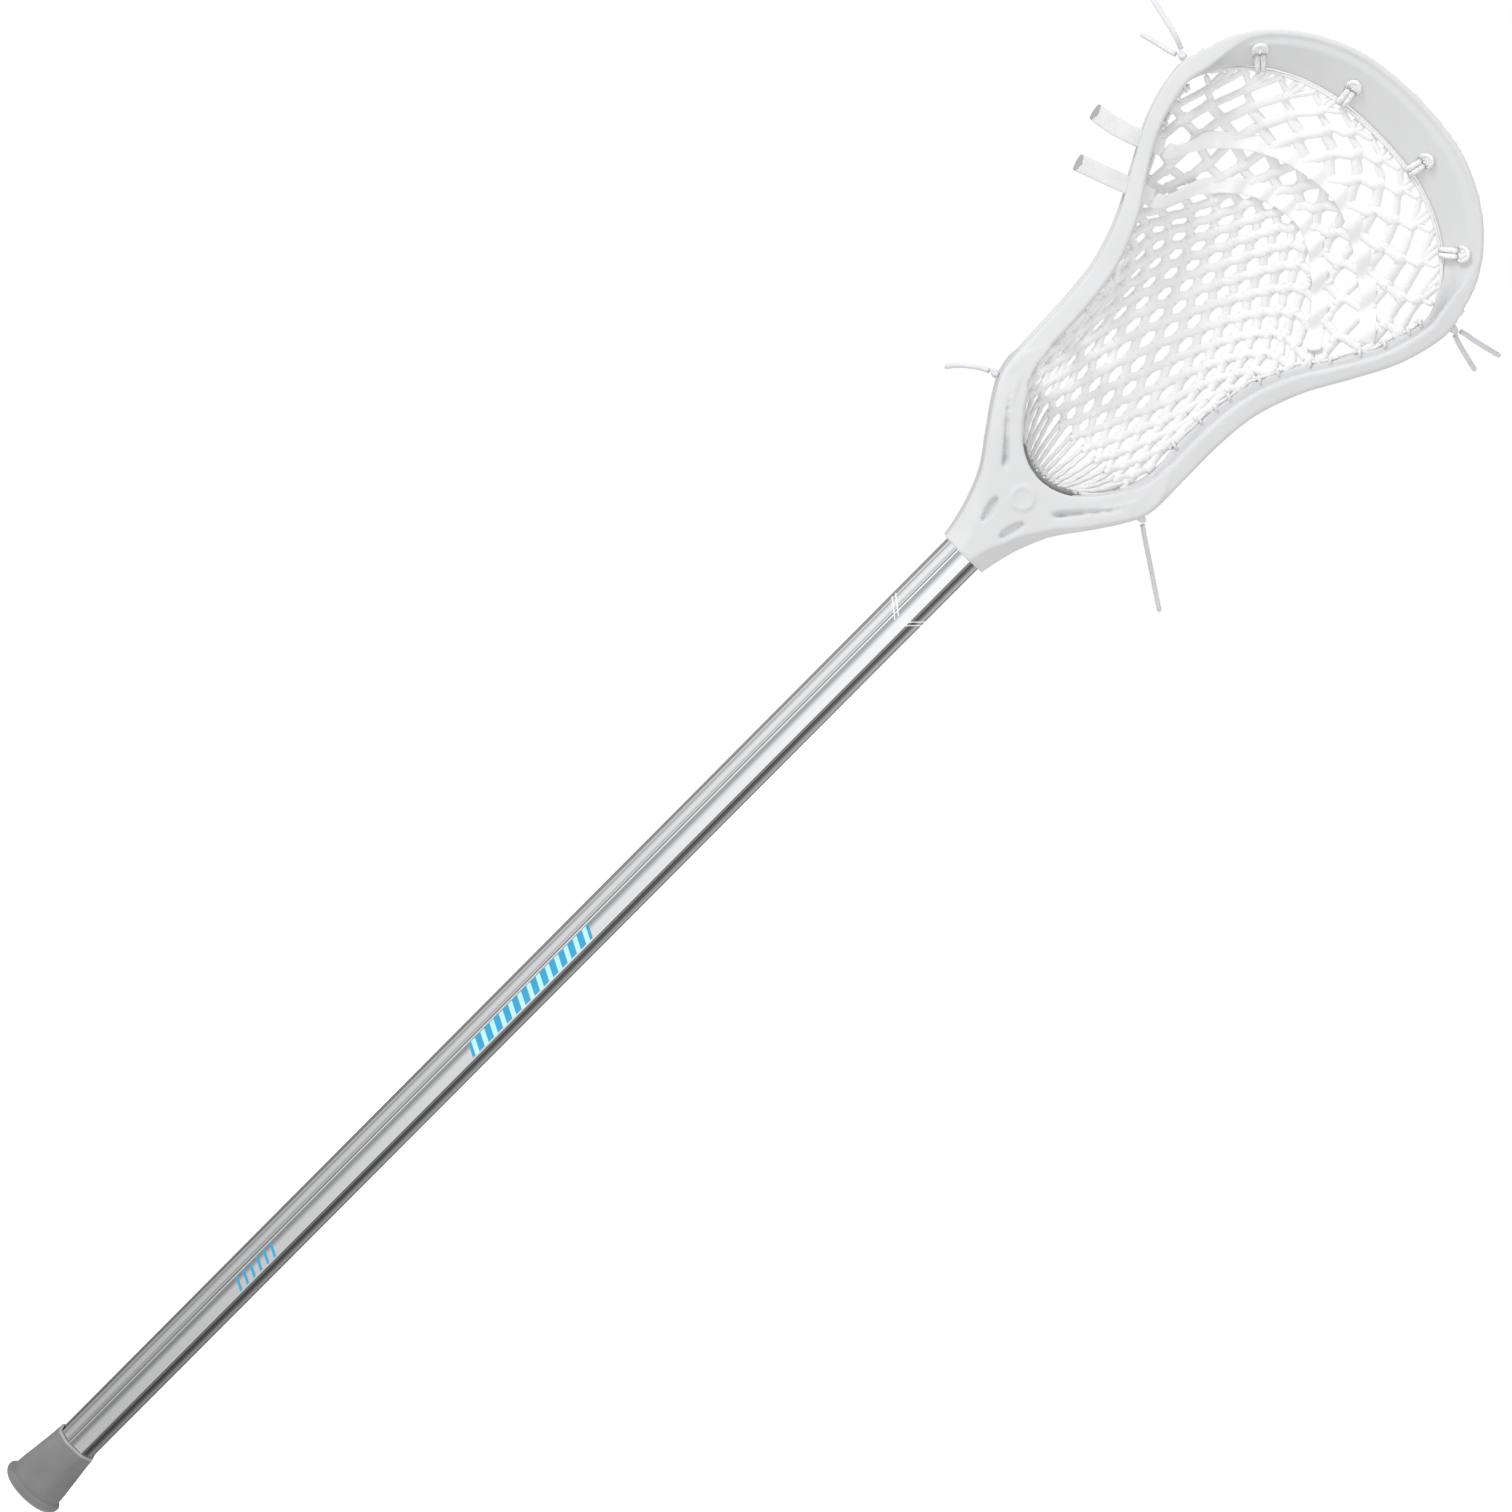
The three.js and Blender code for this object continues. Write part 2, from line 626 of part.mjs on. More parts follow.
// Foam pad on the inside of the throat, under the opening.
function ballStop() {
  const half = OPENING_HALF.slice(-3).map(([x, z]) => [x * 0.96, z + GAP]);
  const outer = [...half, ...half.slice(0, -1).map(([x, z]) => [-x, z]).reverse()];
  const inner = outer.map(([x, z]) => [x * 0.93, z + 2.4]).reverse();
  return geometryOf(prismXZ(vectors([...outer, ...inner]), -12.5, 3.5));
}

function knot(x, y, z, radius = KNOT_RADIUS) {
  const g = new THREE.SphereGeometry(radius, 12, 8);
  g.translate(x, y, z);
  return g;
}

// ---- Loose ends ------------------------------------------------------------
// Each runs from its knot, or from inside the side wall, to its sealed tip.
const TOP_KNOT = [101.3, 9, 978];
const BOTTOM_KNOT = [54.6, 4, 793.6];
const TAILS = {
  top_string_tail_left: [
    [-104.1, 8.5, 980.2], [-109.6, 6.8, 982.2], [-115.8, 8.6, 984], [-122.6, 12.5, 985.8], [-128.4, 16.2, 987.4],
    [-132.7, 19, 988.7],
  ],
  top_string_tail_right: [
    [104.1, 8.5, 979.8], [108.4, 9.8, 980.8], [114.4, 14.4, 982], [120.6, 20.6, 983.6], [126.6, 26.8, 985.2],
    [131.7, 31.6, 986.6],
  ],
  sidewall_string_tail_left: [
    [-103.9, 10.4, 976.3], [-107.4, 12.8, 975.2], [-112, 18.5, 974.4], [-116.2, 25, 973.6], [-119.8, 30.4, 972.9],
    [-122.5, 34.6, 972.3],
  ],
  sidewall_string_tail_right: [
    [103.9, 10.4, 976.3], [107.6, 12.5, 975.2], [113.4, 18.5, 974.2], [119.2, 25, 973.4], [124.2, 31, 972.8],
    [128.4, 35.8, 972.3],
  ],
  bottom_string_tail_left: [
    [-57.4, 5.4, 792.2], [-61, 8.3, 790.4], [-64.6, 12, 787.6], [-68, 16, 784.6], [-71.2, 20.8, 780.9],
    [-73.6, 25.8, 777],
  ],
  bottom_string_tail_right: [
    [57.2, 5.2, 791.6], [62, 6.6, 788.4], [70, 8.6, 783.2], [79, 11, 777.4], [88.6, 13.6, 771.2],
    [98.1, 16, 765],
  ],
};
const LACE_TAILS = {
  upper_lace_tail: [
    [-73.5, 10.5, 938], [-79, 12.5, 935.8], [-85, 16, 933.2], [-91, 21.5, 931], [-97, 30, 929.3],
    [-102.6, 38.4, 928.2], [-107.4, 45.4, 927.6], [-111.2, 51, 927.4],
  ],
  lower_lace_tail: [
    [-59.5, 12.5, 915.6], [-65, 15, 914], [-71, 19, 912.2], [-77, 25.4, 910], [-83, 33, 907.7],
    [-88.8, 41.4, 905.6], [-94, 48.6, 903.8], [-98.6, 55, 902.1],
  ],
};

// ---- Assembly --------------------------------------------------------------
const finish = {
  head: { color: 0xdfe0e0, roughness: 0.45, metalness: 0 },
  shaft: { color: 0xb8babd, roughness: 0.28, metalness: 1 },
  cap: { color: 0x8c8d8e, roughness: 0.75, metalness: 0 },
  screw: { color: 0x9a9ca0, roughness: 0.35, metalness: 1 },
  foam: { color: 0xe6e6e3, roughness: 0.9, metalness: 0 },
  mesh: { color: 0xf2f2f2, roughness: 0.85, metalness: 0 },
  string: { color: 0xefefef, roughness: 0.8, metalness: 0 },
};

const group = new THREE.Group();
function add(name, geometry, look) {
  const mesh = new THREE.Mesh(geometry, new THREE.MeshStandardMaterial(finish[look]));
  mesh.name = name;
  group.add(mesh);
}

add("head", head(), "head");
add("shaft", shaft(), "shaft");
add("end_cap", endCap(), "cap");
add("head_screw", headScrew(), "screw");
add("ball_stop", ballStop(), "foam");
add("mesh_pocket", meshPocket(), "mesh");
add("top_string", topString(), "string");
add("bottom_string", bottomString(), "string");
add("shooting_lace_upper", shootingLace(76, 941, 986), "string");
add("shooting_lace_lower", shootingLace(59, 919, 964), "string");
for (const [side, word] of [[-1, "left"], [1, "right"]]) {
  add(`sidewall_string_${word}`, sidewallString(side), "string");
  add(`top_knot_${word}`, knot(side * TOP_KNOT[0], TOP_KNOT[1], TOP_KNOT[2]), "string");
  add(`bottom_knot_${word}`, knot(side * BOTTOM_KNOT[0], BOTTOM_KNOT[1], BOTTOM_KNOT[2]), "string");
}
for (const [name, points] of Object.entries(TAILS)) {
  add(name, roundString(points, TAIL_RADIUS, 10), "string");
}
for (const [name, points] of Object.entries(LACE_TAILS)) {
  const across = (p, t) => new THREE.Vector3(-0.18 - 0.1 * t, 0, 1);
  add(name, flatLace(points, across, 12), "string");
}

export default group;
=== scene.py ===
# Lacrosse stick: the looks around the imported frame. The stick stands along +Z on its
# rubber cap, the open face of the head looks towards -Y and +X is to the right.
import math

import bmesh
import bpy
import numpy as np
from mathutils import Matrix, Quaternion, Vector


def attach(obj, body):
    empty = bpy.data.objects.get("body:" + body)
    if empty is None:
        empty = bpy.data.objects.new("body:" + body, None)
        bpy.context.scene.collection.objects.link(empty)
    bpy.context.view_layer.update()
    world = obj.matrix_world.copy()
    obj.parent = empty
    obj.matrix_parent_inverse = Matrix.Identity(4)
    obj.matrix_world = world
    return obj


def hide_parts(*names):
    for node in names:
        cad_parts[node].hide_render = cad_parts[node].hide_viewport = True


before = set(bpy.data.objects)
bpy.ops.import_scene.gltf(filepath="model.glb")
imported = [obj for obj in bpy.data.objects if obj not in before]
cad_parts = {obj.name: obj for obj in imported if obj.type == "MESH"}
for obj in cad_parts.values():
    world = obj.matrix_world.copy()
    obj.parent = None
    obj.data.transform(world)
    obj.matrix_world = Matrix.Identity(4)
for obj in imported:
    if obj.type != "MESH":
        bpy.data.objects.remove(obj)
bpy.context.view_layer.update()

MM = 0.001  # every shape below is worked out in millimetres, as the CAD is

# ---- Dimensions shared with the CAD (mm) --------------------------------------
GAP = 0.3
SHAFT_BOTTOM, SHAFT_TOP = 3, 765
SHAFT_WIDTH, SHAFT_DEPTH, SHAFT_WALL, FACET_HOLLOW = 22, 26.4, 1.2, 0.5
FRONT_FACET_SHARE, SIDE_FACET_SHARE = 0.46, 0.5  # of the shaft's width and depth
CAP_LIP_Z, CAP_WALL, CAP_WAIST_RADIUS, CAP_WAIST_Z = 40, 0.8, 15.4, 14
CAP_BEAD_RADIUS, CAP_BEAD_Z, CAP_FLAT_RADIUS = 18, 5.4, 9
HEAD_BOTTOM, HEAD_TOP, THROAT_DEPTH, OPENING_BOTTOM = 715, 1048, 35, 770
SCOOP_BAND, SIDE_BAND, RAIL_BAND = 26.5, 9.3, 10.8
SCREW_Z, SCREW_RADIUS, SCREW_HEAD_RADIUS = 735, 2.1, 4
BOSS_Z = 758
TAIL_RADIUS, LACE_WIDTH, LACE_THICKNESS = 1.3, 9.3, 1.4
POCKET_SAG = 18


# ---- Camera ---------------------------------------------------------------------
CAMERA_TARGET = Vector((-0.0018, 0, 0.5623))
CAMERA_DISTANCE = 2.6
CAMERA_AZIMUTH, CAMERA_ELEVATION = math.radians(-6), math.radians(6)
CAMERA_ROLL = math.radians(44.87)  # the stick leans to the upper right of the frame
LENS = 117.3


def make_camera():
    data = bpy.data.cameras.new("camera")
    camera = bpy.data.objects.new("camera", data)
    bpy.context.scene.collection.objects.link(camera)
    back = Vector((
        math.sin(CAMERA_AZIMUTH) * math.cos(CAMERA_ELEVATION),
        -math.cos(CAMERA_AZIMUTH) * math.cos(CAMERA_ELEVATION),
        math.sin(CAMERA_ELEVATION),
    ))
    camera.location = CAMERA_TARGET + back * CAMERA_DISTANCE
    camera.rotation_mode = "QUATERNION"
    level = (-back).to_track_quat("-Z", "Y")
    camera.rotation_quaternion = level @ Quaternion((0, 0, 1), CAMERA_ROLL)
    data.sensor_width, data.lens = 36, LENS
    data.clip_start, data.clip_end = 0.05, 50
    bpy.context.scene.camera = camera


make_camera()


# ---- Curves and profiles ----------------------------------------------------------
def lerp(a, b, t):
    return a + (b - a) * t


def smoothstep(x, low, high):
    t = np.clip((x - low) / (high - low), 0, 1)
    return t * t * (3 - 2 * t)


def profile(pairs):
    """A function that runs smoothly through (position, value) pairs."""
    def value(x):
        for (x0, y0), (x1, y1) in zip(pairs, pairs[1:]):
            if x <= x1:
                return lerp(y0, y1, smoothstep(x, x0, x1))
        return pairs[-1][1]
    return value


def smooth_line(points, steps=24):
    """A centripetal Catmull-Rom line through the points."""
    p = np.asarray(points, float)
    p = np.vstack([2 * p[0] - p[1], p, 2 * p[-1] - p[-2]])
    line = []
    for a, b, c, d in zip(p, p[1:], p[2:], p[3:]):
        ta, tb, tc = (max(np.linalg.norm(v - u) ** 0.5, 1e-4) for u, v in ((a, b), (b, c), (c, d)))
        m1 = ((b - a) / ta - (c - a) / (ta + tb) + (c - b) / tb) * tb
        m2 = ((c - b) / tb - (d - b) / (tb + tc) + (d - c) / tc) * tb
        s = (np.arange(steps) / steps)[:, None]
        line.append(b + m1 * s + (3 * (c - b) - 2 * m1 - m2) * s**2 + (2 * (b - c) + m1 + m2) * s**3)
    return np.vstack([*line, p[-2:-1]])


def lengths_along(line):
    return np.concatenate([[0], np.cumsum(np.linalg.norm(np.diff(line, axis=0), axis=1))])


def resample(line, count):
    """The same line as count points, evenly spaced."""
    s = lengths_along(line)
    at = np.linspace(0, s[-1], count)
    return np.stack([np.interp(at, s, line[:, k]) for k in range(line.shape[1])], axis=1)


def frames_along(line):
    """Unit tangents and two unit normals, turned as little as possible from point to point."""
    t = np.gradient(line, axis=0)
    t /= np.linalg.norm(t, axis=1)[:, None]
    start = np.array([0.0, -1.0, 0.0]) if abs(t[0][1]) < 0.9 else np.array([1.0, 0.0, 0.0])
    normals = []
    for tangent in t:
        start = start - tangent * start.dot(tangent)
        start = start / np.linalg.norm(start)
        normals.append(start)
    n = np.array(normals)
    return t, n, np.cross(t, n)


# ---- Building meshes ----------------------------------------------------------------
class Shape:
    """Points in millimetres with their faces, to which closed bodies are added."""

    def __init__(self):
        self.points, self.faces, self.count = [], [], 0

    def add(self, points, faces):
        self.points.append(np.asarray(points, float))
        self.faces.extend(tuple(i + self.count for i in f) for f in faces)
        self.count += len(points)
        return self

    def rings(self, rings, closed=False, caps=True):
        """A body through rings of points. closed joins the last ring to the first."""
        rings = [np.asarray(r, float) for r in rings]
        n, count = len(rings[0]), len(rings)
        faces = []
        for i in range(count if closed else count - 1):
            a, b = i * n, ((i + 1) % count) * n
            for j in range(n):
                k = (j + 1) % n
                faces.append((a + j, a + k, b + k, b + j))
        if caps and not closed:
            faces.append(tuple(range(n))[::-1])
            faces.append(tuple((count - 1) * n + j for j in range(n)))
        return self.add(np.vstack(rings), faces)

    def sweep(self, line, section, scale=None, twist=0.0, closed=False, side=None):
        """section, an N by 2 outline, carried along a line. twist is in turns, and side a fixed
        direction for the section's first axis."""
        t, n, b = frames_along(line)
        if side is not None:
            n = np.asarray(side, float) * np.ones_like(t)
            n -= t * (n * t).sum(1)[:, None]
            n /= np.linalg.norm(n, axis=1)[:, None]
            b = np.cross(t, n)
        scale = np.ones(len(line)) if scale is None else scale
        angle = 2 * math.pi * twist * np.linspace(0, 1, len(line))
        rings = []
        for i, p in enumerate(line):
            c, s = math.cos(angle[i]), math.sin(angle[i])
            x = (section[:, 0] * c - section[:, 1] * s) * scale[i]
            y = (section[:, 0] * s + section[:, 1] * c) * scale[i]
            rings.append(p + x[:, None] * n[i] + y[:, None] * b[i])
        return self.rings(rings, closed=closed)

    def piece(self, name, material, smooth=True):
        mesh = bpy.data.meshes.new(name)
        mesh.from_pydata((np.vstack(self.points) * MM).tolist(), [], self.faces)
        sides = bmesh.new()
        sides.from_mesh(mesh)
        bmesh.ops.recalc_face_normals(sides, faces=sides.faces)
        sides.to_mesh(mesh)
        sides.free()
        if material is not None:
            mesh.materials.append(material)
        if smooth:
            mesh.shade_smooth()
        obj = bpy.data.objects.new(name, mesh)
        bpy.context.scene.collection.objects.link(obj)
        return obj


def circle(radius, sides):
    a = 2 * math.pi * np.arange(sides) / sides
    return np.stack([radius * np.cos(a), radius * np.sin(a)], axis=1)


def lobed(radius, lobes, depth, sides):
    """A round section with shallow valleys between its plies."""
    a = 2 * math.pi * np.arange(sides) / sides
    r = radius * (1 - depth * (0.5 - 0.5 * np.cos(lobes * a)))
    return np.stack([r * np.cos(a), r * np.sin(a)], axis=1)


def rounded_box(width, height, corner, steps=3):
    points = []
    for quadrant, (sx, sy) in enumerate(((1, 1), (-1, 1), (-1, -1), (1, -1))):
        for i in range(steps + 1):
            a = math.pi / 2 * (quadrant + i / steps)
            points.append((
                sx * (width / 2 - corner) + corner * math.cos(a),
                sy * (height / 2 - corner) + corner * math.sin(a),
            ))
    return np.array(points)


def tip_scale(line, radius, start=True, end=True):
    """Rounds off one or both ends of a swept cord."""
    s = lengths_along(line)
    scale = np.ones(len(line))
    for on, d in ((start, s), (end, s[-1] - s)):
        if on:
            inside = np.clip(1 - d / radius, 0, 1)
            scale = np.minimum(scale, np.sqrt(np.maximum(1 - inside**2, 0.02)))
    return scale


# ---- Materials ------------------------------------------------------------------------
class Look:
    """A Principled material with its node tree."""

    def __init__(self, name, color, roughness, metallic=0.0):
        self.material = bpy.data.materials.new(name)
        self.material.use_nodes = True
        self.tree = self.material.node_tree
        self.shader = self.tree.nodes["Principled BSDF"]
        self.shader.inputs["Base Color"].default_value = (*color, 1)
        self.shader.inputs["Roughness"].default_value = roughness
        self.shader.inputs["Metallic"].default_value = metallic
        self.place = self.tree.nodes.new("ShaderNodeTexCoord").outputs["Object"]

    def node(self, kind, values=None, **settings):
        n = self.tree.nodes.new(kind)
        for key, value in settings.items():
            setattr(n, key, value)
        for key, value in (values or {}).items():
            n.inputs[key].default_value = value
        return n

    def link(self, output, target):
        self.tree.links.new(output, target)

    def stretched(self, scale):
        n = self.node("ShaderNodeMapping", {"Scale": scale})
        self.link(self.place, n.inputs["Vector"])
        return n.outputs["Vector"]

    def noise(self, scale, detail=3.0, stretch=(1, 1, 1)):
        n = self.node("ShaderNodeTexNoise", {"Scale": scale, "Detail": detail})
        self.link(self.stretched(stretch), n.inputs["Vector"])
        return n.outputs["Fac"]

    def ramp(self, value, low, high, to_low, to_high):
        n = self.node("ShaderNodeMapRange", {
            "From Min": low, "From Max": high, "To Min": to_low, "To Max": to_high})
        self.link(value, n.inputs["Value"])
        return n.outputs["Result"]

    def mix(self, fac, a, b):
        n = self.node("ShaderNodeMix", data_type="RGBA")
        self.link(fac, n.inputs["Factor"])
        for socket, value in ((n.inputs[6], a), (n.inputs[7], b)):
            if isinstance(value, tuple):
                socket.default_value = (*value, 1)
            else:
                self.link(value, socket)
        return n.outputs[2]

    def math(self, operation, *values):
        n = self.node("ShaderNodeMath", operation=operation)
        for socket, value in zip(n.inputs, values):
            if isinstance(value, (int, float)):
                socket.default_value = value
            else:
                self.link(value, socket)
        return n.outputs["Value"]

    def between(self, value, low, high):
        above = self.math("GREATER_THAN", value, low)
        return self.math("MULTIPLY", above, self.math("LESS_THAN", value, high))

    def in_millimetres(self):
        """The object's X, Y and Z."""
        return self.split(self.stretched((1000, 1000, 1000)))

    def glow(self, strength):
        self.shader.inputs["Emission Color"].default_value = (1, 1, 1, 1)
        self.shader.inputs["Emission Strength"].default_value = strength

    def split(self, vector):
        n = self.node("ShaderNodeSeparateXYZ")
        self.link(vector, n.inputs["Vector"])
        return n.outputs

    def bump(self, height, strength, distance):
        n = self.node("ShaderNodeBump", {"Strength": strength, "Distance": distance})
        self.link(height, n.inputs["Height"])
        self.link(n.outputs["Normal"], self.shader.inputs["Normal"])

    def color(self, output):
        self.link(output, self.shader.inputs["Base Color"])

    def roughness(self, output):
        self.link(output, self.shader.inputs["Roughness"])


def plastic():
    look = Look("head_plastic", (0.65, 0.652, 0.66), 0.42)
    fine, broad = look.noise(1400, 2), look.noise(26, 3)
    look.color(look.mix(look.ramp(broad, 0.3, 0.7, 0, 1), (0.635, 0.638, 0.645), (0.665, 0.668, 0.675)))
    look.roughness(look.ramp(broad, 0.3, 0.7, 0.36, 0.48))
    look.bump(fine, 0.12, 0.0002)
    return look.material


def metal():
    """Bright drawn aluminium with plain printed bars and thin white chevrons on its front."""
    bar_zone, tick_zone, half_strip = (345, 436), (164, 195), 3.5
    look = Look("shaft_metal", (0.82, 0.825, 0.835), 0.1, 1.0)
    grain = look.noise(1500, 2, (1, 1, 0.004))
    bare = look.mix(look.ramp(grain, 0.3, 0.7, 0, 1), (0.80, 0.805, 0.815), (0.85, 0.855, 0.865))
    x, y, z = look.in_millimetres()
    front, off_axis = look.math("LESS_THAN", y, -4.0), look.math("ABSOLUTE", x)
    slant = look.math("MULTIPLY_ADD", x, 0.53, z)
    strip = look.math("MULTIPLY", front, look.math("LESS_THAN", off_axis, half_strip))
    panel = look.math("MULTIPLY", strip, look.between(slant, *bar_zone))
    bars = look.math("LESS_THAN", look.math("FRACT", look.math("DIVIDE", slant, 7)), 0.58)
    ticks = look.math("LESS_THAN", look.math("FRACT", look.math("DIVIDE", slant, 5.2)), 0.34)
    ticks = look.math("MULTIPLY", ticks, look.math("MULTIPLY", strip, look.between(slant, *tick_zone)))
    blue = look.math("MAXIMUM", look.math("MULTIPLY", panel, bars), ticks)
    chevron = look.math("MULTIPLY_ADD", off_axis, -0.8, z)
    lines = look.math("MAXIMUM", look.between(chevron, 664, 664.8), look.between(chevron, 666.6, 667.4))
    beside = look.math("MULTIPLY", front, look.math("GREATER_THAN", off_axis, 2))
    lines = look.math("MULTIPLY", lines, beside)
    color = look.mix(panel, bare, (0.5, 0.86, 0.98))
    color = look.mix(blue, color, (0.03, 0.36, 0.62))
    look.color(look.mix(lines, color, (0.9, 0.9, 0.91)))
    printed = look.math("MAXIMUM", look.math("MAXIMUM", panel, blue), lines)
    look.link(look.math("SUBTRACT", 1.0, printed), look.shader.inputs["Metallic"])
    polish = look.ramp(grain, 0.3, 0.7, 0.08, 0.13)
    look.roughness(look.math("MULTIPLY_ADD", printed, 0.3, polish))
    look.bump(grain, 0.015, 0.00005)
    return look.material


def steel():
    look = Look("screw_steel", (0.55, 0.55, 0.56), 0.3, 1.0)
    wear = look.noise(900, 3)
    look.roughness(look.ramp(wear, 0.3, 0.7, 0.24, 0.4))
    look.bump(wear, 0.05, 0.0001)
    return look.material


def rubber():
    """Matt grey rubber, with a painted highlight: a paler band round the lip."""
    look = Look("cap_rubber", (0.2, 0.2, 0.203), 0.5)
    fine, broad = look.noise(2200, 2), look.noise(60, 3)
    body = look.mix(look.ramp(broad, 0.3, 0.7, 0, 1), (0.18, 0.18, 0.183), (0.22, 0.22, 0.223))
    # Painted highlight: the top 1.2 mm of the lip is a paler grey, standing for light caught on the lip's
    # edge.
    lip = look.math("GREATER_THAN", look.in_millimetres()[2], CAP_LIP_Z - 1.2)
    look.color(look.mix(lip, body, (0.36, 0.36, 0.363)))
    look.roughness(look.ramp(broad, 0.3, 0.7, 0.42, 0.56))
    look.bump(fine, 0.25, 0.0002)
    return look.material


def fibre(name, tone, scale, glow=0.0):
    """Nylon yarn: fine fibres, with tone varying from strand to strand. glow is painted light, a
    white emission that stands for the light that white yarn scatters through itself."""
    look = Look(name, tone, 0.78)
    fine, broad = look.noise(scale, 4), look.noise(90, 2)
    dark = tuple(c * 0.93 for c in tone)
    look.color(look.mix(look.ramp(broad, 0.3, 0.7, 0, 1), dark, tone))
    look.bump(fine, 0.5, 0.0003)
    look.shader.inputs["Sheen Weight"].default_value = 0.25
    look.glow(glow)
    return look.material


PLASTIC, METAL, RUBBER = plastic(), metal(), rubber()
# The last number of each white yarn below is a painted glow: an emission standing for light scattered
# through the yarn.
NET_YARN = fibre("net_yarn", (0.84, 0.84, 0.842), 1800, 0.02)
STRING_YARN = fibre("string_yarn", (0.86, 0.86, 0.865), 2200, 0.03)
# Painted shade: the string tails and knots are the same white string, given a darker, bluer tone for the
# shade they hang in.
SHADED_STRING_TAIL_YARN = fibre("shaded_string_tail_yarn", (0.74, 0.74, 0.775), 2200)
# Painted shade: the lace tails are the shooting lace's own white yarn, given a darker tone for the shade
# they hang in.
SHADED_LACE_TAIL_YARN = fibre("shaded_lace_tail_yarn", (0.68, 0.68, 0.685), 2600)
FUSED_TIP = fibre("fused_tip", (0.36, 0.36, 0.365), 2600)
LACE_YARN = fibre("lace_yarn", (0.87, 0.87, 0.875), 2600, 0.04)

# ---- Loose ends -------------------------------------------------------------------
TOP_KNOT = (101.3, 9, 978)
BOTTOM_KNOT = (54.6, 4, 793.6)
TAILS = {
    "top_string_tail_left": [
        (-104.1, 8.5, 980.2), (-109.6, 6.8, 982.2), (-115.8, 8.6, 984), (-122.6, 12.5, 985.8),
        (-128.4, 16.2, 987.4), (-132.7, 19, 988.7)],
    "top_string_tail_right": [
        (104.1, 8.5, 979.8), (108.4, 9.8, 980.8), (114.4, 14.4, 982), (120.6, 20.6, 983.6),
        (126.6, 26.8, 985.2), (131.7, 31.6, 986.6)],
    "sidewall_string_tail_left": [
        (-103.9, 10.4, 976.3), (-107.4, 12.8, 975.2), (-112, 18.5, 974.4), (-116.2, 25, 973.6),
        (-119.8, 30.4, 972.9), (-122.5, 34.6, 972.3)],
    "sidewall_string_tail_right": [
        (103.9, 10.4, 976.3), (107.6, 12.5, 975.2), (113.4, 18.5, 974.2), (119.2, 25, 973.4),
        (124.2, 31, 972.8), (128.4, 35.8, 972.3)],
    "bottom_string_tail_left": [
        (-57.4, 5.4, 792.2), (-61, 8.3, 790.4), (-64.6, 12, 787.6), (-68, 16, 784.6),
        (-71.2, 20.8, 780.9), (-73.6, 25.8, 777)],
    "bottom_string_tail_right": [
        (57.2, 5.2, 791.6), (62, 6.6, 788.4), (70, 8.6, 783.2), (79, 11, 777.4),
        (88.6, 13.6, 771.2), (98.1, 16, 765)],
}
LACE_TAILS = {
    "upper_lace_tail": [
        (-73.5, 10.5, 938), (-79, 12.5, 935.8), (-85, 16, 933.2), (-91, 21.5, 931),
        (-97, 30, 929.3), (-102.6, 38.4, 928.2), (-107.4, 45.4, 927.6), (-111.2, 51, 927.4)],
    "lower_lace_tail": [
        (-59.5, 12.5, 915.6), (-65, 15, 914), (-71, 19, 912.2), (-77, 25.4, 910),
        (-83, 33, 907.7), (-88.8, 41.4, 905.6), (-94, 48.6, 903.8), (-98.6, 55, 902.1)],
}
STRING_PLIES = lobed(1.08 * TAIL_RADIUS, 4, 0.07, 16)


def lace_section(width=LACE_WIDTH, thickness=LACE_THICKNESS, ribs=9):
    """A flat woven lace: round edges and shallow lengthwise ribs."""
    half, count = width / 2, 4 * ribs
    top = []
    for i in range(count + 1):
        x = lerp(-half, half, i / count)
        edge = math.sqrt(max(1 - (abs(x) / half) ** 6, 0))
        rib = 1 - 0.16 * (0.5 + 0.5 * math.cos(2 * math.pi * ribs * i / count))
        top.append((x, thickness / 2 * edge * rib))
    return np.array(top + [(x, -y) for x, y in top[-2:0:-1]])


def loose_ends():
    for name, points in TAILS.items():
        line = resample(smooth_line(points), 40)
        long = lengths_along(line)[-1]
        cord = Shape().sweep(line, STRING_PLIES, tip_scale(line, 2.2, start=False), twist=long / 9)
        # The tail takes the darker string yarn: painted shade.
        piece = cord.piece(name + "_cord", SHADED_STRING_TAIL_YARN)
        place_cord(piece, name)
    for name, points in LACE_TAILS.items():
        line = resample(smooth_line(points), 60)
        long = lengths_along(line)[-1]
        lean = np.linspace(0, 1, len(line))
        side = np.stack([-0.18 - 0.1 * lean, 0 * lean, 1 + 0 * lean], axis=1)
        lace = Shape().sweep(line, lace_section(), tip_scale(line, 1.5), side=side)
        # The hanging lace takes the darker copy of the lace's yarn: painted shade.
        piece = lace.piece(name + "_cord", SHADED_LACE_TAIL_YARN)
        piece.data.materials.append(FUSED_TIP)
        piece.data.materials.append(LACE_YARN)
        root, tip = Vector(line[0] * MM), Vector(line[-1] * MM)
        for face in piece.data.polygons:
            if (face.center - tip).length < LACE_WIDTH * 0.62 * MM:
                face.material_index = 1
            elif (face.center - root).length < 14 * MM:  # inside the side wall, as white as the lace
                face.material_index = 2
        place_cord(piece, name)


def place_cord(piece, node):
    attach(piece, "stick")
    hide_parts(node)


loose_ends()


# ---- Outline of the head --------------------------------------------------------
# Right half of the outer edge, from the throat to the middle of the scoop, as (x, z).
OUTER_HALF = [
    (18.3, 737), (25, 753), (35.5, 768), (46.5, 784), (53.4, 798), (54.8, 822), (55.4, 849),
    (58.4, 873), (67.2, 898), (81, 922.5), (93.4, 947), (99.3, 974), (96.6, 989),
    (88.6, 1007), (76, 1022), (59, 1034.5), (38, 1043.5), (19, 1047)]


def mirrored(half, middle=()):
    return [*half, *middle, *((-x, z) for x, z in half[::-1])]


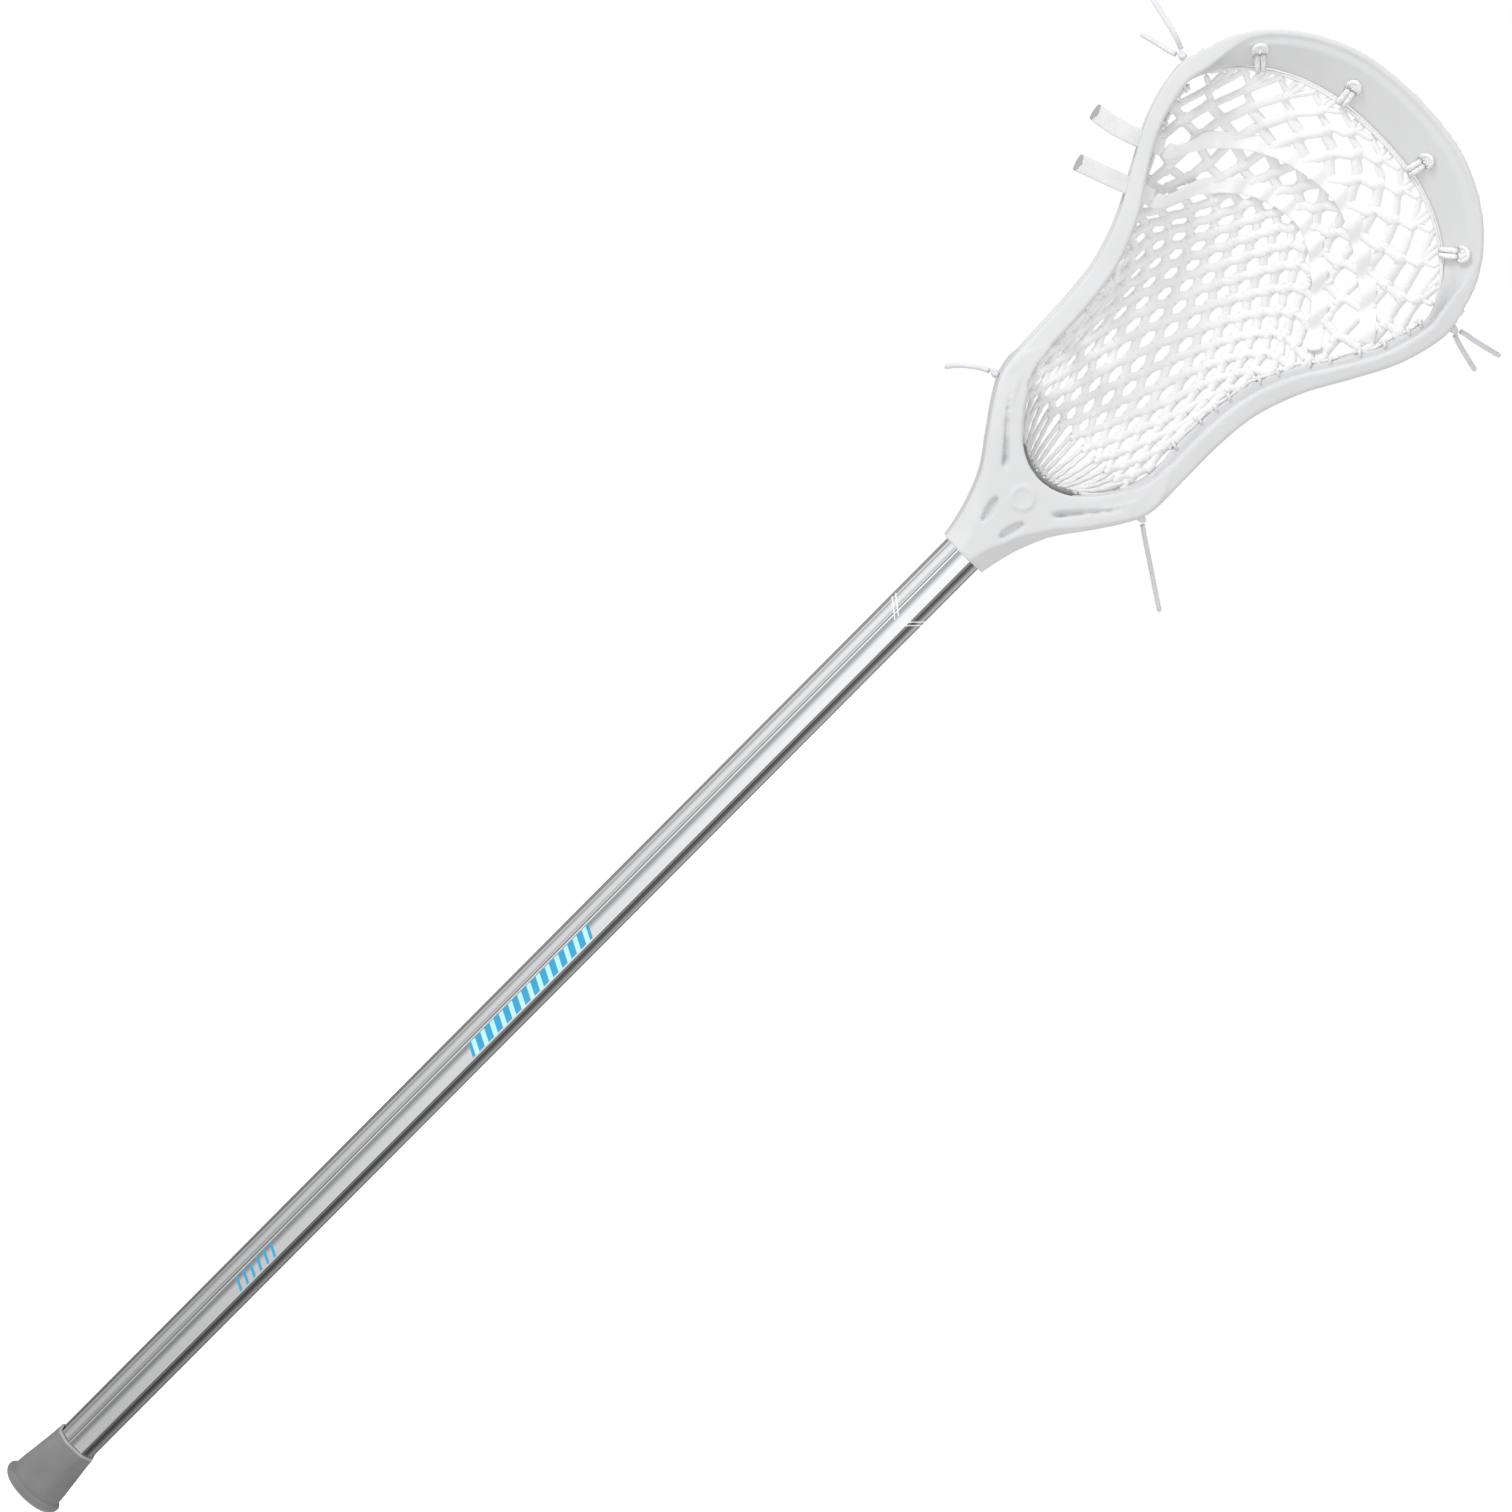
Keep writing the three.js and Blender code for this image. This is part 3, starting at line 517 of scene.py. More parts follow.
RIM = smooth_line(mirrored(OUTER_HALF, [(0, HEAD_TOP)]), 40)
RIM_LENGTH = lengths_along(RIM)[-1]
RIM_SHARE = lengths_along(RIM) / RIM_LENGTH
RIM_TANGENT = np.gradient(RIM, lengths_along(RIM), axis=0)
RIGHT_HALF = RIM_SHARE <= 0.5

front_y = profile([(762, -17.5), (880, -1), (930, 1), (1000, -3), (HEAD_TOP, -9)])
back_y = profile([(762, 17.5), (865, 36), (890, 36), (950, 27.5), (1006, 13), (HEAD_TOP, 9)])
rail_band = profile([(880, RAIL_BAND), (930, 8.2), (968, SIDE_BAND)])

# Bevels of the throat's outer corners, which shrink into the rails.
bevel_x = profile([(HEAD_BOTTOM, 9.9), (724, 9.6), (737, 7.5), (756, 5), (775, 2.6), (800, 1.2)])
bevel_y = profile([(HEAD_BOTTOM, 9), (737, 6), (756, 4), (775, 2.6), (800, 1.2)])


def band_width(z):
    if z < 970:
        return rail_band(z)
    return lerp(SIDE_BAND, SCOOP_BAND, (z - 970) / (HEAD_TOP - 970))


def scoop_share(z):
    return float(smoothstep(z, 972, 1018))


def rim_height(t):
    return float(np.interp(t, RIM_SHARE, RIM[:, 1]))


def station_at(z):
    """Station on the right half whose outer edge is at height z."""
    return float(np.interp(z, RIM[RIGHT_HALF, 1], RIM_SHARE[RIGHT_HALF]))


def hoop_point(t, u, y, side=1):
    """Point at u inwards from the outer edge, at depth y. side -1 mirrors it to the left."""
    x, z, along_x, along_z = (
        np.interp(t, RIM_SHARE, v) for v in (*RIM.T, *RIM_TANGENT.T))
    return np.array([side * (x - along_z * u), y, z + along_x * u])


def hoop_section(z):
    """Section of the hoop at height z, as (inward, depth) points."""
    k, band, front, back = scoop_share(z), band_width(z), front_y(z), back_y(z)
    front_width, front_height = lerp(band, 3.6, k), lerp(6.5, 1.2, float(smoothstep(z, 950, 994)))
    offset, back_width, back_height = lerp(1, band - 5.5, k), lerp(band + 0.2, 5.5, k), lerp(6.5, 4, k)
    web_front, web_back, web = lerp(2.4, 0.5, k), lerp(2.4, band - 8, k), lerp(3.4, 7.5, k)
    c = lerp(1.2, 0.9, k)
    outer_x, outer_y = max(c, bevel_x(z)), max(c, bevel_y(z))
    f, b = front + front_height, back - back_height
    lean = 1.3 * (1 - k) * float(smoothstep(z, 780, 830))
    return [
        (0, front + outer_y + lean), (0, f), (web_front, f + 0.8), (web_back, b - 0.8), (offset, b),
        (offset, back - outer_y), (offset + outer_x, back), (offset + back_width - c, back),
        (offset + back_width, back - c), (offset + back_width, b), (web_back + web, b - 0.8),
        (web_front + web, f + 0.8), (front_width, f), (front_width, front + c),
        (front_width - c, front), (outer_x, front + lean)]


def scoop_face(z, u):
    """Depth of the scoop's front face at u inwards."""
    points = hoop_section(z)
    face = [points[14], points[12], points[11], points[10], points[9]]
    return float(np.interp(u, [p[0] for p in face], [p[1] for p in face]))


# ---- Joining and cutting -----------------------------------------------------------
def settle(obj):
    """Applies the object's modifiers to its mesh."""
    graph = bpy.context.evaluated_depsgraph_get()
    graph.update()
    mesh = bpy.data.meshes.new_from_object(obj.evaluated_get(graph))
    obj.modifiers.clear()
    obj.data = mesh
    return obj


def combine(obj, operation, shape):
    """Joins a shape to obj, or cuts it out."""
    other = shape.piece("cutter", None)
    change = obj.modifiers.new("change", "BOOLEAN")
    change.operation, change.solver, change.object = operation, "MANIFOLD", other
    settle(obj)
    bpy.data.objects.remove(other)


def prism(points, y0, y1):
    """A prism with its outline in the XZ plane, from y0 (front) to y1 (back)."""
    return [[(x, y, z) for x, z in points] for y in (y0, y1)]


def disc(x, z, radius, y0, y1, sides=48):
    return prism(circle(radius, sides) + (x, z), y0, y1)


# ---- Head ------------------------------------------------------------------------------
THROAT_HALF = [
    (13.4, HEAD_BOTTOM), (15, 724), (18.3, 737), (25, 753), (35.5, 768), (46.5, 784),
    (52.6, 796), (54, 808), (47, 824)]
OPENING_HALF = [
    (44, 826), (42, 809), (34.5, 793.5), (26.5, 783.5), (18.5, 776), (9.5, 771.5)]
GROOVE = [(43, 793), (38.3, 786.3), (31.8, 779), (25.6, 772.3), (20.4, 766.6), (17, 762)]
WINDOWS = [(812, 838), (846, 872), (880, 897), (903, 920), (925, 948), (955, 970)]
SCOOP_HOLES = [-68.4, -26.5, 26.5, 68.4]
SLOT_X, SLOT_Z, SLOT_FLOOR = 7.9, 742, -14.9
opening_line = smooth_line(mirrored(OPENING_HALF, [(0, OPENING_BOTTOM)]), 12)


def hoop():
    rings = []
    for t in np.linspace(0, 1, 321):
        rings.append([hoop_point(t, u, y) for u, y in hoop_section(rim_height(t))])
    return Shape().rings(rings)


def throat():
    """The throat grows from a faceted socket round the shaft to a plate between the rails."""
    rings = []
    for x, z in resample(smooth_line(THROAT_HALF), 90):
        front, back, bx, by = front_y(z), back_y(z), bevel_x(z), bevel_y(z)
        half = [(x - bx, front), (x, front + by), (x, back - by), (x - bx, back)]
        rings.append([(px, y, z) for px, y in mirrored(half)])
    return Shape().rings(rings)


def window_cuts(cuts):
    for low, high in WINDOWS:
        t_low, t_high = station_at(low), station_at(high)
        length = (t_high - t_low) * RIM_LENGTH
        front = front_y((low + high) / 2) + 9
        back = min(back_y(low), back_y(high)) - 9
        outline = rounded_box(length, back - front, min(3, (back - front) / 2 - 0.2), 5)
        for side in (1, -1):
            rings = []
            for u in (-4, 14):
                rings.append([
                    hoop_point((t_low + t_high) / 2 + s / RIM_LENGTH, u, (front + back) / 2 + y, side)
                    for s, y in outline])
            cuts.rings(rings)


def groove_cut(cuts, side):
    """A groove with a steep outer wall, wider and deeper towards the shaft."""
    rings = []
    line = resample(smooth_line(GROOVE), 24)
    across = np.gradient(line, axis=0)[:, ::-1] * (1, -1)
    across /= np.linalg.norm(across, axis=1)[:, None]
    for i, (x, z) in enumerate(line):
        s = i / (len(line) - 1)
        wide = lerp(0.8, 2.6, s) * min(1, 12 * (1 - s) + 0.25)
        deep = lerp(2.0, 5.5, s) * min(1, 8 * (1 - s) + 0.3)
        front = front_y(z)
        section = [(-wide, front - 4), (-wide * 0.75, front + 0.2), (wide * 0.45, front + deep),
                   (wide * 0.75, front + deep), (wide, front - 4)]
        out_x, out_z = across[i] * (-1 if across[i][0] < 0 else 1)
        rings.append([(side * (x + out_x * d), y, z + out_z * d) for d, y in section])
    cuts.rings(rings)


def slot_outline(side):
    """A leaning oval recess low on the throat's front."""
    x, z = (circle(1, 40) * (2.2, 7.8)).T
    tilt = -side * 0.26
    return np.stack([
        side * SLOT_X + x * math.cos(tilt) - z * math.sin(tilt),
        SLOT_Z + x * math.sin(tilt) + z * math.cos(tilt)], axis=1)


def scoop_hole(x):
    """Station, height and inward place of the hole near x."""
    stations = np.linspace(0.3, 0.7, 400)
    t = min(stations, key=lambda s: abs(hoop_point(s, 19, 0)[0] - x))
    z = rim_height(t)
    return t, z, band_width(z) - 7


def head():
    obj = hoop().piece("head_moulding", PLASTIC)
    combine(obj, "UNION", throat())
    half = THROAT_DEPTH / 2
    bosses = Shape().rings(disc(0, BOSS_Z, 6.4, -half - 0.8, 0))
    bosses.rings(disc(0, SCREW_Z, 6.2, 10, half + 1.4))
    combine(obj, "UNION", bosses)
    cuts = Shape().rings(prism(opening_line[::2], -30, 30))
    combine(obj, "DIFFERENCE", cuts)
    lip = [(x, front_y(z) + 1.3, z) for x, z in opening_line if z < 800]
    combine(obj, "UNION", Shape().sweep(np.array(lip), circle(1.3, 12)))
    cuts = Shape()
    window_cuts(cuts)
    for x in SCOOP_HOLES:
        t, z, u = scoop_hole(x)
        px, _, pz = hoop_point(t, u, 0)
        cuts.rings(disc(px, pz, 3, -40, 30, 32))
    for side in (1, -1):
        groove_cut(cuts, side)
    socket = octagon(SHAFT_WIDTH + 2 * GAP, SHAFT_DEPTH + 2 * GAP, 0)
    cuts.rings([[(x, y, z) for x, y in socket] for z in (HEAD_BOTTOM - 5, SHAFT_TOP + GAP)])
    combine(obj, "DIFFERENCE", cuts)
    cuts = Shape().rings(disc(0, SCREW_Z, SCREW_RADIUS + GAP, 8, half + 5))
    for side in (1, -1):
        cuts.rings(prism(slot_outline(side), -30, SLOT_FLOOR))
    cuts.rings(disc(0, BOSS_Z, 5, -half - 3, -half - 0.2))
    combine(obj, "DIFFERENCE", cuts)
    screw_seat = disc(0, SCREW_Z, SCREW_HEAD_RADIUS + GAP, half - 1.2, half + 5)
    combine(obj, "DIFFERENCE", Shape().rings(screw_seat))
    grid = obj.modifiers.new("grid", "REMESH")
    grid.mode, grid.voxel_size = "VOXEL", 0.95 * MM
    soften = obj.modifiers.new("soften", "SMOOTH")
    soften.factor, soften.iterations = 0.5, 3
    settle(obj)
    surface(obj, PLASTIC)
    finish_piece(obj, "stick", "head")


def surface(obj, material, crease=None):
    """One material all over, shaded smooth up to creases of that many degrees."""
    obj.data.materials.clear()
    obj.data.materials.append(material)
    obj.data.shade_smooth()
    if crease is not None:
        obj.data.set_sharp_from_angle(angle=math.radians(crease))


def finish_piece(obj, body, node):
    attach(obj, body)
    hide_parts(node)


# ---- Shaft, screw and cap ------------------------------------------------------------
def octagon(width, depth, hollow, steps=8, corner=0.12):
    """The shaft's outline: eight facets, each dished by hollow, with round corners."""
    w, d = width / 2, depth / 2
    flat_x, flat_y = w * FRONT_FACET_SHARE, d * SIDE_FACET_SHARE
    corners = np.array([
        (w, -flat_y), (w, flat_y), (flat_x, d), (-flat_x, d), (-w, flat_y), (-w, -flat_y),
        (-flat_x, -d), (flat_x, -d)])
    points = []
    for a, b in zip(corners, np.roll(corners, -1, axis=0)):
        along = (b - a) / np.linalg.norm(b - a)
        inward = np.array([-along[1], along[0]])
        for s in np.linspace(corner, 1 - corner, steps + 1):
            points.append(a + (b - a) * s + inward * hollow * (1 - (2 * s - 1) ** 2))
    outline = []
    for i, point in enumerate(points):
        outline.append(point)
        if i % (steps + 1) == steps:
            after, bend = points[(i + 1) % len(points)], corners[(i // (steps + 1) + 1) % 8]
            for t in (0.25, 0.5, 0.75):
                outline.append((1 - t) ** 2 * point + 2 * t * (1 - t) * bend + t * t * after)
    return np.array(outline)


def octagon_radius(angle, width, depth):
    """Distance from the axis to the flat-sided outline, in the direction of angle."""
    w, d = width / 2, depth / 2
    bevel_w, bevel_d = w * (1 - FRONT_FACET_SHARE), d * (1 - SIDE_FACET_SHARE)
    c, s = np.abs(np.cos(angle)), np.abs(np.sin(angle))
    bevel = (bevel_d * w + bevel_w * d * SIDE_FACET_SHARE) / (bevel_d * c + bevel_w * s)
    return np.minimum(bevel, np.minimum(w / np.maximum(c, 1e-9), d / np.maximum(s, 1e-9)))


def shaft():
    outer = octagon(SHAFT_WIDTH, SHAFT_DEPTH, FACET_HOLLOW)
    wall = 2 * SHAFT_WALL
    inner = octagon(SHAFT_WIDTH - wall, SHAFT_DEPTH - wall, FACET_HOLLOW)
    ends = [(outer, SHAFT_BOTTOM), (outer, SHAFT_TOP), (inner, SHAFT_TOP), (inner, SHAFT_BOTTOM)]
    rings = [[(x, y, z) for x, y in section] for section, z in ends]
    obj = Shape().rings(rings, closed=True).piece("shaft_tube", METAL)
    combine(obj, "DIFFERENCE", Shape().rings(disc(0, SCREW_Z, SCREW_RADIUS + GAP, 5, 25)))
    surface(obj, METAL, 50)
    finish_piece(obj, "stick", "shaft")


def lathe(profile_points, sides=96):
    """Rings round the Z axis through (radius, height) points."""
    turn = circle(1, sides)
    return [[(x * r, y * r, z) for x, y in turn] for r, z in profile_points]


def end_cap():
    bead, waist = CAP_BEAD_RADIUS, CAP_WAIST_RADIUS
    outside = smooth_line([
        (CAP_FLAT_RADIUS, 0), (bead - 2.6, 1.2), (bead - 0.5, 3.2), (bead, CAP_BEAD_Z - 0.6),
        (bead - 0.2, CAP_BEAD_Z + 0.6), (bead - 1, 6.7), (bead - 1.9, 7), (bead - 2.05, 7.8),
        (bead - 2.2, 9), (waist + 0.2, 11.5), (waist, CAP_WAIST_Z)], 8)
    wall = [(waist, z) for z in np.linspace(CAP_WAIST_Z, CAP_LIP_Z - 0.9, 14)[1:]]
    lip = [(waist - 0.3, CAP_LIP_Z - 0.45), (waist - 0.65, CAP_LIP_Z - 0.1), (waist - 0.8, CAP_LIP_Z)]
    rings = np.array(lathe([(3, 0), *outside, *wall, *lip, (9, CAP_LIP_Z)]))
    # The round section above the bead turns into the shaft's outline at the lip.
    share = np.clip((rings[:, :, 2] - CAP_WAIST_Z) / (CAP_LIP_Z - CAP_WAIST_Z), 0, 1)
    facets = octagon_radius(np.arctan2(rings[:, :, 1], rings[:, :, 0]), SHAFT_WIDTH, SHAFT_DEPTH)
    rings[:, :, :2] *= lerp(1, (facets + GAP + CAP_WALL) / waist, share)[:, :, None]
    obj = Shape().rings(rings).piece("butt_cap", RUBBER)
    socket = octagon(SHAFT_WIDTH + 0.1, SHAFT_DEPTH + 0.1, 0)  # a closer fit than the CAD's
    hollow = [[(x, y, z) for x, y in socket] for z in (SHAFT_BOTTOM - GAP, CAP_LIP_Z + 5)]
    combine(obj, "DIFFERENCE", Shape().rings(hollow))
    surface(obj, RUBBER, 40)
    finish_piece(obj, "cap", "end_cap")


def head_screw():
    half = THROAT_DEPTH / 2
    outside = [
        (0.2, 4), (SCREW_RADIUS - 0.7, 4.6), (SCREW_RADIUS, 6), (SCREW_RADIUS, half - 0.9),
        (SCREW_HEAD_RADIUS - 0.2, half - 0.9), (SCREW_HEAD_RADIUS, half - 0.7),
        (SCREW_HEAD_RADIUS, half + 0.3), (SCREW_HEAD_RADIUS - 0.4, half + 0.9), (3, half + 1.5),
        (1.5, half + 1.75), (0.2, half + 1.8)]
    rings = np.array(lathe(outside, 48))
    rings = np.stack([rings[:, :, 0], rings[:, :, 2], SCREW_Z + rings[:, :, 1]], axis=2)
    obj = Shape().rings(rings).piece("head_screw_steel", STEEL)
    cut = [[(x, half + 1.6 + y, z) for x, y in ((-0.6, -0.8), (0.6, -0.8), (0.6, 0.8), (-0.6, 0.8))]
           for z in (SCREW_Z - 5, SCREW_Z + 5)]
    combine(obj, "DIFFERENCE", Shape().rings(cut))
    surface(obj, STEEL, 35)
    finish_piece(obj, "stick", "head_screw")


def ball_stop():
    """Foam pad along the lower edge of the opening: a strip with soft edges, its dark grey painted shade
    for the gap under the lip.
    """
    line = np.array([(x * 0.96, 0, z + GAP + 1.2) for x, z in opening_line if z < 776.4])
    line[:, 1] = -4.5
    strip = rounded_box(2.2, 15.6, 1.05, 5)
    obj = Shape().sweep(resample(line, 40), strip, side=(0, 0, 1)).piece("ball_stop_foam", FOAM_PAINTED_SHADE)
    finish_piece(obj, "stick", "ball_stop")


# ---- Net -----------------------------------------------------------------------------------
def edge_points():
    points = [(23.6, 8, 783), (34.3, 13, 794), (40, 20, 808)]
    z = 826
    while z < HEAD_TOP - 1:
        k = scoop_share(z)
        inward, depth = band_width(z) + lerp(2.8, 3.9, k), back_y(z) - lerp(3.6, 2.4, k)
        points.append(tuple(hoop_point(station_at(z), inward, depth)))
        z += 12 if z < 1000 else 5.5
    return points


NET_EDGE = smooth_line(edge_points(), 20)
sag_at = profile([(786, 0), (870, POCKET_SAG), (900, POCKET_SAG), (975, 8), (1016, 1)])


def net_depth(x, z):
    """Depth of the net's middle surface."""
    half, depth = (float(np.interp(z, NET_EDGE[:, 2], NET_EDGE[:, k])) for k in (0, 1))
    share = min(abs(x) / half, 1)
    return depth + sag_at(z) * (1 - share**2) ** 0.8


# Heights of the rows of holes on the centre line. Joins stand at half columns in every second row.
ROW_HEIGHTS = [
    799, 806.5, 815.5, 826, 837.5, 849.5, 862.9, 875.3, 886.7, 898, 908.4, 918.7, 929.7, 940,
    950.4, 958.5, 966.5, 975.2, 986.5, 997.7, 1007]
COLUMNS = 5  # columns of holes on each side of the centre line
row_arch = profile([
    (850, 0), (905, 0.0045), (945, 0.0095), (964, 0.011), (975, 0.0107), (986, 0.0075), (1007, 0.007)])
row_pitch = profile([
    (799, 9), (815, 9.5), (850, 11.2), (900, 11), (950, 10.4), (965, 13), (975, 14.9), (998, 18.6),
    (1010, 20)])


def net_row(index):
    """The joins of a row, as {column: (x, z)}."""
    top = ROW_HEIGHTS[index]
    arch = row_arch(top)
    reach = NET_EDGE[:, 2] + arch * NET_EDGE[:, 0] ** 2
    half = NET_EDGE[np.argmax(reach >= top), 0]
    straight = COLUMNS * row_pitch(top) / half
    columns = np.arange(-COLUMNS, COLUMNS + 1) if index % 2 == 0 else np.arange(-COLUMNS + 0.5, COLUMNS)
    joins = {}
    for column in columns:
        u = column / COLUMNS
        x = half * (straight * u + (1 - straight) * u**3)
        joins[column] = (x, top - arch * x * x)
    return joins


join_height = profile([(800, 5), (840, 8), (945, 8), (985, 5.5)])
strand_radius = profile([(800, 1.9), (840, 2.35), (950, 2.35), (980, 2.8)])


def on_net(x, z, lift=0.0):
    return np.array([x, net_depth(x, z) - lift, z])


def net_strand(shape, start, end, radius):
    """A two-ply strand from one join to the next, leaving and arriving upright."""
    (x0, z0), (x1, z1) = start, end
    lean = 1.0 if x1 > x0 else -1.0
    rows = []
    rise = z1 - z0
    leave = min(join_height(z0) / 2, 0.37 * rise)
    for s in np.linspace(0, 1, 15):
        x = lerp(x0 + lean * 0.95, x1 - lean * 0.95, smoothstep(s, 0.12, 0.88))
        steps = [0, leave, rise - leave, rise]
        z = z0 + float(np.interp(s, [0, 0.28, 0.72, 1], steps))
        rows.append(on_net(x, z, lean * 0.3))
    line = np.array(rows)
    flat = lobed(radius, 4, 0.08, 16) * (0.55, 1.0)
    shape.sweep(line, flat, side=(0, -1, 0))


def net_join(shape, x, z, width, height):
    """The thick stitch where two strands run side by side."""
    grooves = 3
    line = np.array([on_net(x, z + s * height / 2) for s in np.linspace(-1, 1, 13)])
    s = np.linspace(0, 1, 13)
    scale = (0.6 + 0.4 * np.sin(math.pi * s) ** 0.6) * (1 - 0.07 * np.cos(2 * math.pi * grooves * s))
    section = circle(1, 14) * (1.8, width / 2)
    shape.sweep(line, section, scale, side=(0, -1, 0))


def net():
    shape = Shape()
    rows = [net_row(i) for i in range(len(ROW_HEIGHTS))]
    for index, row in enumerate(rows):
        width = 4.7 + 0.2 * max(row_pitch(ROW_HEIGHTS[index]) - 11, -4)
        for x, z in row.values():
            net_join(shape, x, z, width, join_height(z))
    for low, high in zip(rows, rows[1:]):
        for column, start in low.items():
            for step in (-0.5, 0.5):
                if column + step in high:
                    net_strand(shape, start, high[column + step], strand_radius(start[1]))
    bunch(shape, rows[-1])
    fan(shape, rows[0])
    obj = shape.piece("pocket_net", NET_YARN)
    finish_piece(obj, "stick", "mesh_pocket")


def scoop_anchor(column, inward=0.0):
    """Where a column of the net meets the top string, as (x, z)."""
    start = station_at(984)
    t = lerp(start, 1 - start, (1 - column / COLUMNS) / 2)
    z = rim_height(t)
    x, _, height = hoop_point(t, band_width(z) + lerp(0.4, 1.7, scoop_share(z)) + 1.0 + inward, 0)
    return float(x), float(height)


def bunch(shape, row):
    """The gathered band between the last full row and the top string."""
    middle = {}
    for column in np.arange(-COLUMNS + 0.5, COLUMNS):
        a, b = row[column - 0.5], row[column + 0.5]
        x, z = scoop_anchor(column)
        middle[column] = (lerp((a[0] + b[0]) / 2, x, 0.5), lerp((a[1] + b[1]) / 2, z, 0.5))
        net_join(shape, *middle[column], 5, 5)
    for column, start in row.items():
        for step in (-0.5, 0.5):
            if column + step in middle:
                net_strand(shape, start, middle[column + step], 1.8)
    for column, start in middle.items():
        for step in (-0.5, -0.15, 0.15, 0.5):
            net_strand(shape, start, scoop_anchor(column + step), 1.6)


def fan(shape, row):
    """Strands that gather from the lowest row to the bottom string."""
    for column, (x, z) in row.items():
        if abs(x) > 38:
            continue
        for shift in (-1.6, 1.6):
            end = (x * 0.56 + shift * 0.6, 771.8 + 0.0057 * x * x)
            line = [
                on_net(x + shift, z), on_net(x * 0.93 + shift, lerp(z, end[1], 0.25)),
                (x * 0.74 + shift, 8, lerp(z, end[1], 0.7)), (end[0], 5.2, end[1])]
            shape.sweep(resample(smooth_line(line), 14), lobed(1.4, 2, 0.2, 12), twist=2)


# ---- Strings and laces ----------------------------------------------------------------------
def string(shape, points, radius=1.15, turns_every=8.0, spacing=1.1):
    line = smooth_line(points)
    line = resample(line, max(6, int(lengths_along(line)[-1] / spacing)))
    shape.sweep(line, lobed(radius, 4, 0.16, 12), tip_scale(line, radius),
                twist=lengths_along(line)[-1] / turns_every)


def rail_wrap(shape, z, side, slant=2.2):
    """A stitch of string through the back rail, near its inner edge, at height z."""
    t = station_at(z)
    band, back = band_width(z), back_y(z)
    points = []
    for i in range(17):
        a = 2 * math.pi * i / 16
        u = band + 1.6 + 2.2 * math.cos(a)
        y = back - 4 + 3.2 * math.sin(a)
        points.append(hoop_point(t + slant * (i / 16 - 0.5) / RIM_LENGTH, u, y, side))
    string(shape, points, 1.05)


def sidewall_strings():
    for side, word in ((-1, "left"), (1, "right")):
        shape = Shape()
        run = []
        for i, z in enumerate(np.arange(829, 971, 4.7)):
            wave = 0.8 * math.sin(i * 1.3)
            inward = band_width(z) + 2.3 + 0.6 * wave
            run.append(hoop_point(station_at(z), inward, back_y(z) - 3.6 + wave, side))
        string(shape, run)
        for z in (832, 850, 860, 868, 884, 893, 907, 916, 930, 943, 958, 966):
            rail_wrap(shape, z, side)
        obj = shape.piece(f"sidewall_string_{word}_cord", STRING_YARN)
        finish_piece(obj, "stick", f"sidewall_string_{word}")


def top_string():
    shape = Shape()
    run = []
    start = station_at(986)
    for t in np.linspace(start, 1 - start, 60):
        z = rim_height(t)
        k = scoop_share(z)
        run.append(hoop_point(t, band_width(z) + lerp(0.4, 1.7, k), back_y(z) - lerp(3.6, 3, k)))
    string(shape, run, 1.2)
    for x in SCOOP_HOLES:
        t, z, u = scoop_hole(x)
        band = band_width(z)
        for side in (1, -1):
            stem = [
                (2.1, band + 1.9, back_y(z) - 3), (2.1, band + 1.5, scoop_face(z, band) - 1.0),
                (2.0, band - 2.5, scoop_face(z, band - 2.5) - 1.4),
                (1.9, band - 5.2, scoop_face(z, band - 5.2) - 1.3),
                (1.4, band - 7, scoop_face(z, band - 7) + 2)]
            string(shape, [hoop_point(t + side * a / RIM_LENGTH, b, c) for a, b, c in stem], 1.7)
        for spread in (1.0, 0.5):
            arch = []
            for a in np.linspace(-0.1, 1.1, 13) * math.pi:
                u = band - 8 - 3.2 * spread * math.sin(a)
                sink = 1.6 * smoothstep(abs(a / math.pi - 0.5), 0.42, 0.62)
                arch.append((4.1 * spread * math.cos(a), u, scoop_face(z, u) - 1.2 + sink))
            string(shape, [hoop_point(t + a / RIM_LENGTH, b, c) for a, b, c in arch], 1.45)
    obj = shape.piece("top_string_cord", STRING_YARN)
    finish_piece(obj, "stick", "top_string")


def bottom_string():
    shape = Shape()
    string(shape, [
        (-36, 15, 800.5), (-29, 11, 790), (-21, 8, 781.8), (-11, 6.4, 776.4), (0, 6, 774.4),
        (11, 6.4, 776.4), (21, 8, 781.8), (29, 11, 790), (36, 15, 800.5)], 1.2)
    obj = shape.piece("bottom_string_cord", STRING_YARN)
    finish_piece(obj, "stick", "bottom_string")


def knots():
    """Overhand knots: each a trefoil of string, long along X and size across."""
    size = 0.4464
    for name, (x, y, z), side in (
            ("top_knot_left", TOP_KNOT, -1), ("top_knot_right", TOP_KNOT, 1),
            ("bottom_knot_left", BOTTOM_KNOT, -1), ("bottom_knot_right", BOTTOM_KNOT, 1)):
        line = []
        for a in np.linspace(0, 2 * math.pi, 73)[:-1]:
            line.append((
                side * (x + 1.5 * math.cos(3 * a)),
                y + size * (math.cos(a) - 2 * math.cos(2 * a)),
                z + size * (math.sin(a) + 2 * math.sin(2 * a))))
        shape = Shape().sweep(np.array(line), circle(1.05, 12), closed=True)
        # The knots take the tails' darker string yarn: painted shade.
        obj = shape.piece(name + "_cord", SHADED_STRING_TAIL_YARN)
        finish_piece(obj, "stick", name)


